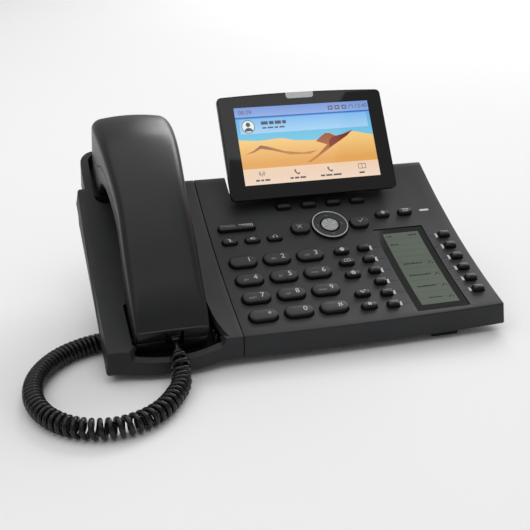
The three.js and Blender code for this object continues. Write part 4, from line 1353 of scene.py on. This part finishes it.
def display_ring(inset, z, radius=3.0):
    """The display's outline: rounded corners, a bowed top edge and an even inset."""
    r = max(radius - inset, 0.3)
    w, h = DISPLAY_WIDTH, DISPLAY_HEIGHT
    points = []
    for corner, (cx, cy) in enumerate([(w - inset - r, h - inset - r), (inset + r, h - inset - r),
                                       (inset + r, inset + r), (w - inset - r, inset + r)]):
        for i in range(6):
            a = (corner + i / 5) * math.pi / 2
            points.append(Vector((cx + r * math.cos(a), cy + r * math.sin(a), z)))
        if corner == 0:
            for t in spread(0, 1, 14)[1:-1]:
                points.append(Vector((w - inset - r - t * (w - 2 * inset - 2 * r), h - inset, z)))
    for p in points:
        if p.y > h / 2:
            p.y += DISPLAY_ARCH * (1 - (2 * p.x / w - 1) ** 2)
    return points


LIGHT = (48.1, 67.5, 68.2)


def light_outline(grow, z, top):
    """The message light: a bar with its lower corners rounded, let into the top edge."""
    x0, x1, y = LIGHT
    r = 1.8
    points = [(x0 - grow - 0.4, top, z), (x1 + grow + 0.4, top, z)][::-1]
    for i in range(6):
        a = math.pi + i / 5 * math.pi / 2
        points.append((x0 + r + (r + grow) * math.cos(a), y + r + (r + grow) * math.sin(a), z))
    for i in range(6):
        a = 1.5 * math.pi + i / 5 * math.pi / 2
        points.append((x1 - r + (r + grow) * math.cos(a), y + r + (r + grow) * math.sin(a), z))
    return points


def make_display():
    """The display: rim, glass, message light, and the picture behind the glass."""
    rim = Form().loft([
        display_ring(1.2, -4.6), display_ring(0.4, -4.1), display_ring(0, -3.2), display_ring(0, -0.55),
        display_ring(0.12, -0.2), display_ring(0.45, 0),
    ])
    bezel = make("display_rim", rim, DISPLAY, [SCREEN_RIM], body="display", replaces=["display_bezel"])
    seat = Form().loft([display_ring(0.75, -1.9), display_ring(0.75, 3)])
    notch = Form().loft([light_outline(0.15, z, DISPLAY_HEIGHT + 6) for z in (-3.8, 6)])
    for tool in (seat, notch):
        shape_with(bezel, tool)
    glass = Form().loft([display_ring(0.85, -1.7), display_ring(0.85, -0.12), display_ring(0.98, -0.02),
                         display_ring(1.3, 0)])
    pane = make("display_glass", glass, DISPLAY, [SCREEN_GLASS], body="display", replaces=["display_glass"])
    shape_with(pane, notch)
    lens = Form().loft([display_ring(0.1, -3.6), display_ring(0, -3.2), display_ring(0, -0.5),
                        display_ring(0.3, 0.0)])
    light = make("message_light", lens, DISPLAY, [LENS_WHITE], body="display", replaces=["message_light"])
    shape_with(light, Form().loft([light_outline(0, z, DISPLAY_HEIGHT + 6) for z in (-3.7, 6)]), "INTERSECT")
    make_picture()


PICTURE = (10.6, 9.5, 95.04, 53.86)


def picture_band(low, high, steps=40):
    """A part of the picture between two curves of height, each a function of 0 to 1 across."""
    x0, y0, w, h = PICTURE
    shares = spread(0, 1, steps)
    bottom = [(x0 + w * t, y0 + h * low(t)) for t in shares]
    top = [(x0 + w * t, y0 + h * high(t)) for t in reversed(shares)]
    return bottom + top


def curve_through(points):
    """A smooth function through a few (across, height) pairs."""
    def height(t):
        i = max(k for k in range(len(points) - 1) if points[k][0] <= t or k == 0)
        a, b = points[i], points[i + 1]
        s = (t - a[0]) / (b[0] - a[0])
        return a[1] + (b[1] - a[1]) * s * s * (3 - 2 * s)
    return height


def make_picture():
    """The lit picture: a desert under a blue sky, with a status bar, a card and soft keys."""
    x0, y0, w, h = PICTURE

    def at(px, py):
        return x0 + w * px, y0 + h * py

    def shape(points, level, paint):
        return Form().loft([[(x, y, z) for x, y in points] for z in (-0.05, 0.012 * level)], paint)

    def area(px0, py0, px1, py1):
        return [at(px0, py0), at(px1, py0), at(px1, py1), at(px0, py1)]

    def haze_line(_):
        return 0.2

    def oval(px, py, rx, ry, end=6.2, steps=24):
        return [at(px + rx * math.cos(a), py + ry * math.sin(a)) for a in spread(0, end, steps)]

    far_dune = curve_through([(0, 0.58), (0.16, 0.56), (0.3, 0.575), (0.44, 0.53), (0.56, 0.52), (0.65, 0.61),
                              (0.74, 0.555), (0.84, 0.6), (1, 0.545)])
    form = merged(
        shape(area(0, 0, 1, 1), 1, 0),
        shape(area(0, 0.87, 1, 1), 2, 1),
        shape(area(0, 0.855, 1, 0.875), 3, 2),
        shape(area(0.025, 0.655, 0.975, 0.845), 2, 3),
        shape(picture_band(haze_line, far_dune), 2, 4),
    )
    shadow = [at(*p) for p in (
        (0.56, 0.505), (0.6, 0.56), (0.64, 0.605), (0.67, 0.6), (0.72, 0.555), (0.76, 0.56), (0.82, 0.605),
        (0.845, 0.615), (0.8, 0.55), (0.73, 0.48), (0.62, 0.365), (0.5, 0.24), (0.47, 0.235), (0.56, 0.33),
        (0.64, 0.45)
    )]
    ridge = [at(*p) for p in (
        (0.03, 0.39), (0.1, 0.44), (0.15, 0.5), (0.2, 0.48), (0.32, 0.405), (0.45, 0.37), (0.56, 0.385),
        (0.5, 0.345), (0.36, 0.355), (0.24, 0.42), (0.15, 0.455), (0.1, 0.415)
    )]
    red = [at(*p) for p in (
        (0.66, 0.5), (0.68, 0.54), (0.71, 0.555), (0.77, 0.575), (0.845, 0.62), (0.79, 0.54), (0.72, 0.47),
        (0.65, 0.41)
    )]
    form = merged(
        form, shape(ridge, 3, 5), shape(shadow, 3, 6), shape(red, 4, 7),
        shape(area(0, 0, 1, 0.205), 4, 8),
        shape(oval(0.085, 0.75, 0.048, 0.085), 4, 9),
        shape(oval(0.085, 0.75, 0.043, 0.076), 5, 10),
        shape(oval(0.085, 0.775, 0.016, 0.03, steps=18), 6, 11),
        shape(oval(0.085, 0.69, 0.03, 0.045, math.pi, 14), 6, 11),
    )

    def bars(px, py, height, widths, paint):
        row = Form()
        for width in widths:
            row = merged(row, shape(area(px, py, px + width, py + height), 6, paint))
            px += width + 0.009
        return row

    form = merged(form, bars(0.18, 0.765, 0.042, (0.05, 0.034, 0.045, 0.028), 11))
    form = merged(form, bars(0.185, 0.712, 0.02, (0.03, 0.042, 0.026, 0.038), 12))
    for centre, widths in ((0.13, (0.028, 0.02, 0.036)), (0.385, (0.024, 0.03, 0.042)),
                           (0.63, (0.03, 0.046, 0.06)), (0.872, (0.04,))):
        form = merged(form, bars(centre - sum(widths) / 2 - 0.008, 0.042, 0.022, widths, 12))
    form = merged(form, lettering("12:45", 4.2, *at(0.945, 0.932), 0.03, 0.03, 12),
                  lettering("08.09", 4.2, *at(0.075, 0.932), 0.03, 0.03, 12))
    for px in (0.71, 0.762, 0.815):
        form = merged(form, shape(area(px - 0.018, 0.905, px + 0.018, 0.96), 6, 12),
                      shape(area(px - 0.01, 0.92, px + 0.01, 0.945), 7, 1))
    form = merged(form,
                  lifted(strokes([arc(0, 0, 1.5, -30, 210)], 0.4, 0, 0.03, 12), *at(0.868, 0.925), 0.03))
    waves = [arc(0, 0, radius, start, start + 100) for start in (-50, 130) for radius in (1.0, 1.9)]
    wave = strokes([*waves, [(0, 0), (0, -2)]], 0.35, 0, 0.03, 12)
    form = merged(form, lifted(wave, *at(0.13, 0.14), 0.05))
    for px in (0.385, 0.63):
        form = merged(form, lifted(repaint(handpiece(0, 0, 3.8), 12), *at(px, 0.13), 0.03))
    book = strokes([[(-2.6, 1.7), (2.6, 1.7), (2.6, -1.5), (-2.6, -1.5), (-2.6, 1.7)], [(0, 1.7), (0, -1.5)]],
                   0.35, 0, 0.03, 12)
    form = merged(form, lifted(book, *at(0.872, 0.135), 0.05))
    make("display_picture", form, DISPLAY, PICTURE_PAINTS, body="display")


def repaint(form, paint):
    form.paints = [paint] * len(form.paints)
    return form


# ------------------------------------------------------------------ carried-over parts


def paint_node(name, paint, bevel=0.0):
    """A finish for a CAD node that is shown as it is, and a soft edge where it is seen."""
    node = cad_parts[name]
    node.data.materials.clear()
    node.data.materials.append(paint)
    node.data.polygons.foreach_set("use_smooth", [True] * len(node.data.polygons))
    node.data.set_sharp_from_angle(angle=math.radians(30))
    if bevel:
        edge = node.modifiers.new("edge", "BEVEL")
        edge.width = bevel * MM
        edge.segments = 2
        edge.limit_method = "ANGLE"
        edge.angle_limit = math.radians(50)


# The tray's underside: its own frame, with z out of the tray and down towards the table.
UNDERSIDE = FACE @ Matrix.Translation((0, 4 * MM, -16 * MM)) @ Matrix.Rotation(-math.atan2(8, 129), 4, "X")


def make_underside():
    """Screws, a blank label, sockets, a cord channel and the rubber pads under the phone."""
    screws = Form()
    for x, y in ((14, 30), (228, 30), (14, 120), (228, 120), (121, 60)):
        screws.disc(x, y, -0.25, 0.5, 3.1, 0, 28, 0.15)
        # Each screw's cross slot is two near-black bars instead of a cut recess: painted shade.
        screws.box(x - 1.9, x + 1.9, y - 0.35, y + 0.35, -0.4, 0, 1)
        screws.box(x - 0.35, x + 0.35, y - 1.9, y + 1.9, -0.4, 0, 1)
    make("base_screws", screws, UNDERSIDE, [STEEL, SHADE_AND_PRINT_BLACK])
    plate_form = Form().pad(86, 156, 18, 46, -0.2, 0.3, 2, 0.1)
    for i, width in enumerate((52, 44, 58, 30)):
        plate_form.box(91, 91 + width, 39 - 5 * i, 40.2 - 5 * i, -0.26, 0, 1)
    make("blank_label", plate_form, UNDERSIDE, [LABEL_PAPER, INK_GREY])
    sockets = Form()
    for x in (100, 118, 150, 166):
        sockets.pad(x - 7, x + 7, 86, 99, -1.2, 0.5, 1, 0.4)
        # The socket openings are near-black pads instead of open holes: painted shade.
        sockets.pad(x - 5.8, x + 5.8, 88, 97, -1.26, 0, 0.4, 0.02, 1)
        for i in range(8):
            sockets.box(x - 4.0 + 1.1 * i, x - 3.6 + 1.1 * i, 92, 96.6, -1.32, -0.5, 2)
    # The round socket's opening is a near-black disc: painted shade.
    sockets.disc(134, 92, -1.2, 0.5, 5.2, 0, 36, 0.3).disc(134, 92, -1.26, 0, 3.4, 1, 28)
    make("base_sockets", sockets, UNDERSIDE, [CASE_PLASTIC, SHADE_AND_PRINT_BLACK, GOLD])
    channel = Form()
    for x in (26, 33.6):
        channel.box(x, x + 1.4, 66, 128, -1.4, 0.4)
    make("cord_channel", channel, UNDERSIDE, [CASE_PLASTIC])
    pads = Form()
    for x0, x1, y0, y1 in ((1.8, 12.2, 11, 18), (197.2, 213.4, 5.2, 12.2), (74, 92, 133, 141.6),
                           (166, 184, 133, 141.6)):
        pads.pad(x0, x1, y0, y1, 0, 1.1, 1.5, 0.2)
    make("rubber_pads", pads, TABLE, [RUBBER])


def make_display_back():
    """Cooling slots in the display's rear, drawn as thin near-black pads: painted shade where the slots would
    be open.
    """
    slots = Form()
    for i in range(9):
        slots.pad(38 + 5 * i, 40.4 + 5 * i, 44, 58, -12.12, -11.9, 1.2, 0.05)
    make("display_vents", slots, DISPLAY, [SHADE_AND_PRINT_BLACK], body="display")


BOARD = Paint("board_green", colour(24, 74, 46), 0.45)
BOARD = BOARD.tint(BOARD.noise(300, 2), 0.25).material

make_handset()
make_top_cover()
make_cradle()
make_keys()
make_navigation()
make_label_display()
make_display()
make_display_back()
make_underside()
paint_node("base_cover", CASE_PLASTIC, 0.5)
paint_node("display_rear_cover", CASE_PLASTIC, 0.5)
paint_node("foot_stand", CASE_PLASTIC, 0.4)
paint_node("hook_lever", KEY_PLASTIC, 0.3)
paint_node("main_board", BOARD)
paint_node("loudspeaker", STEEL)
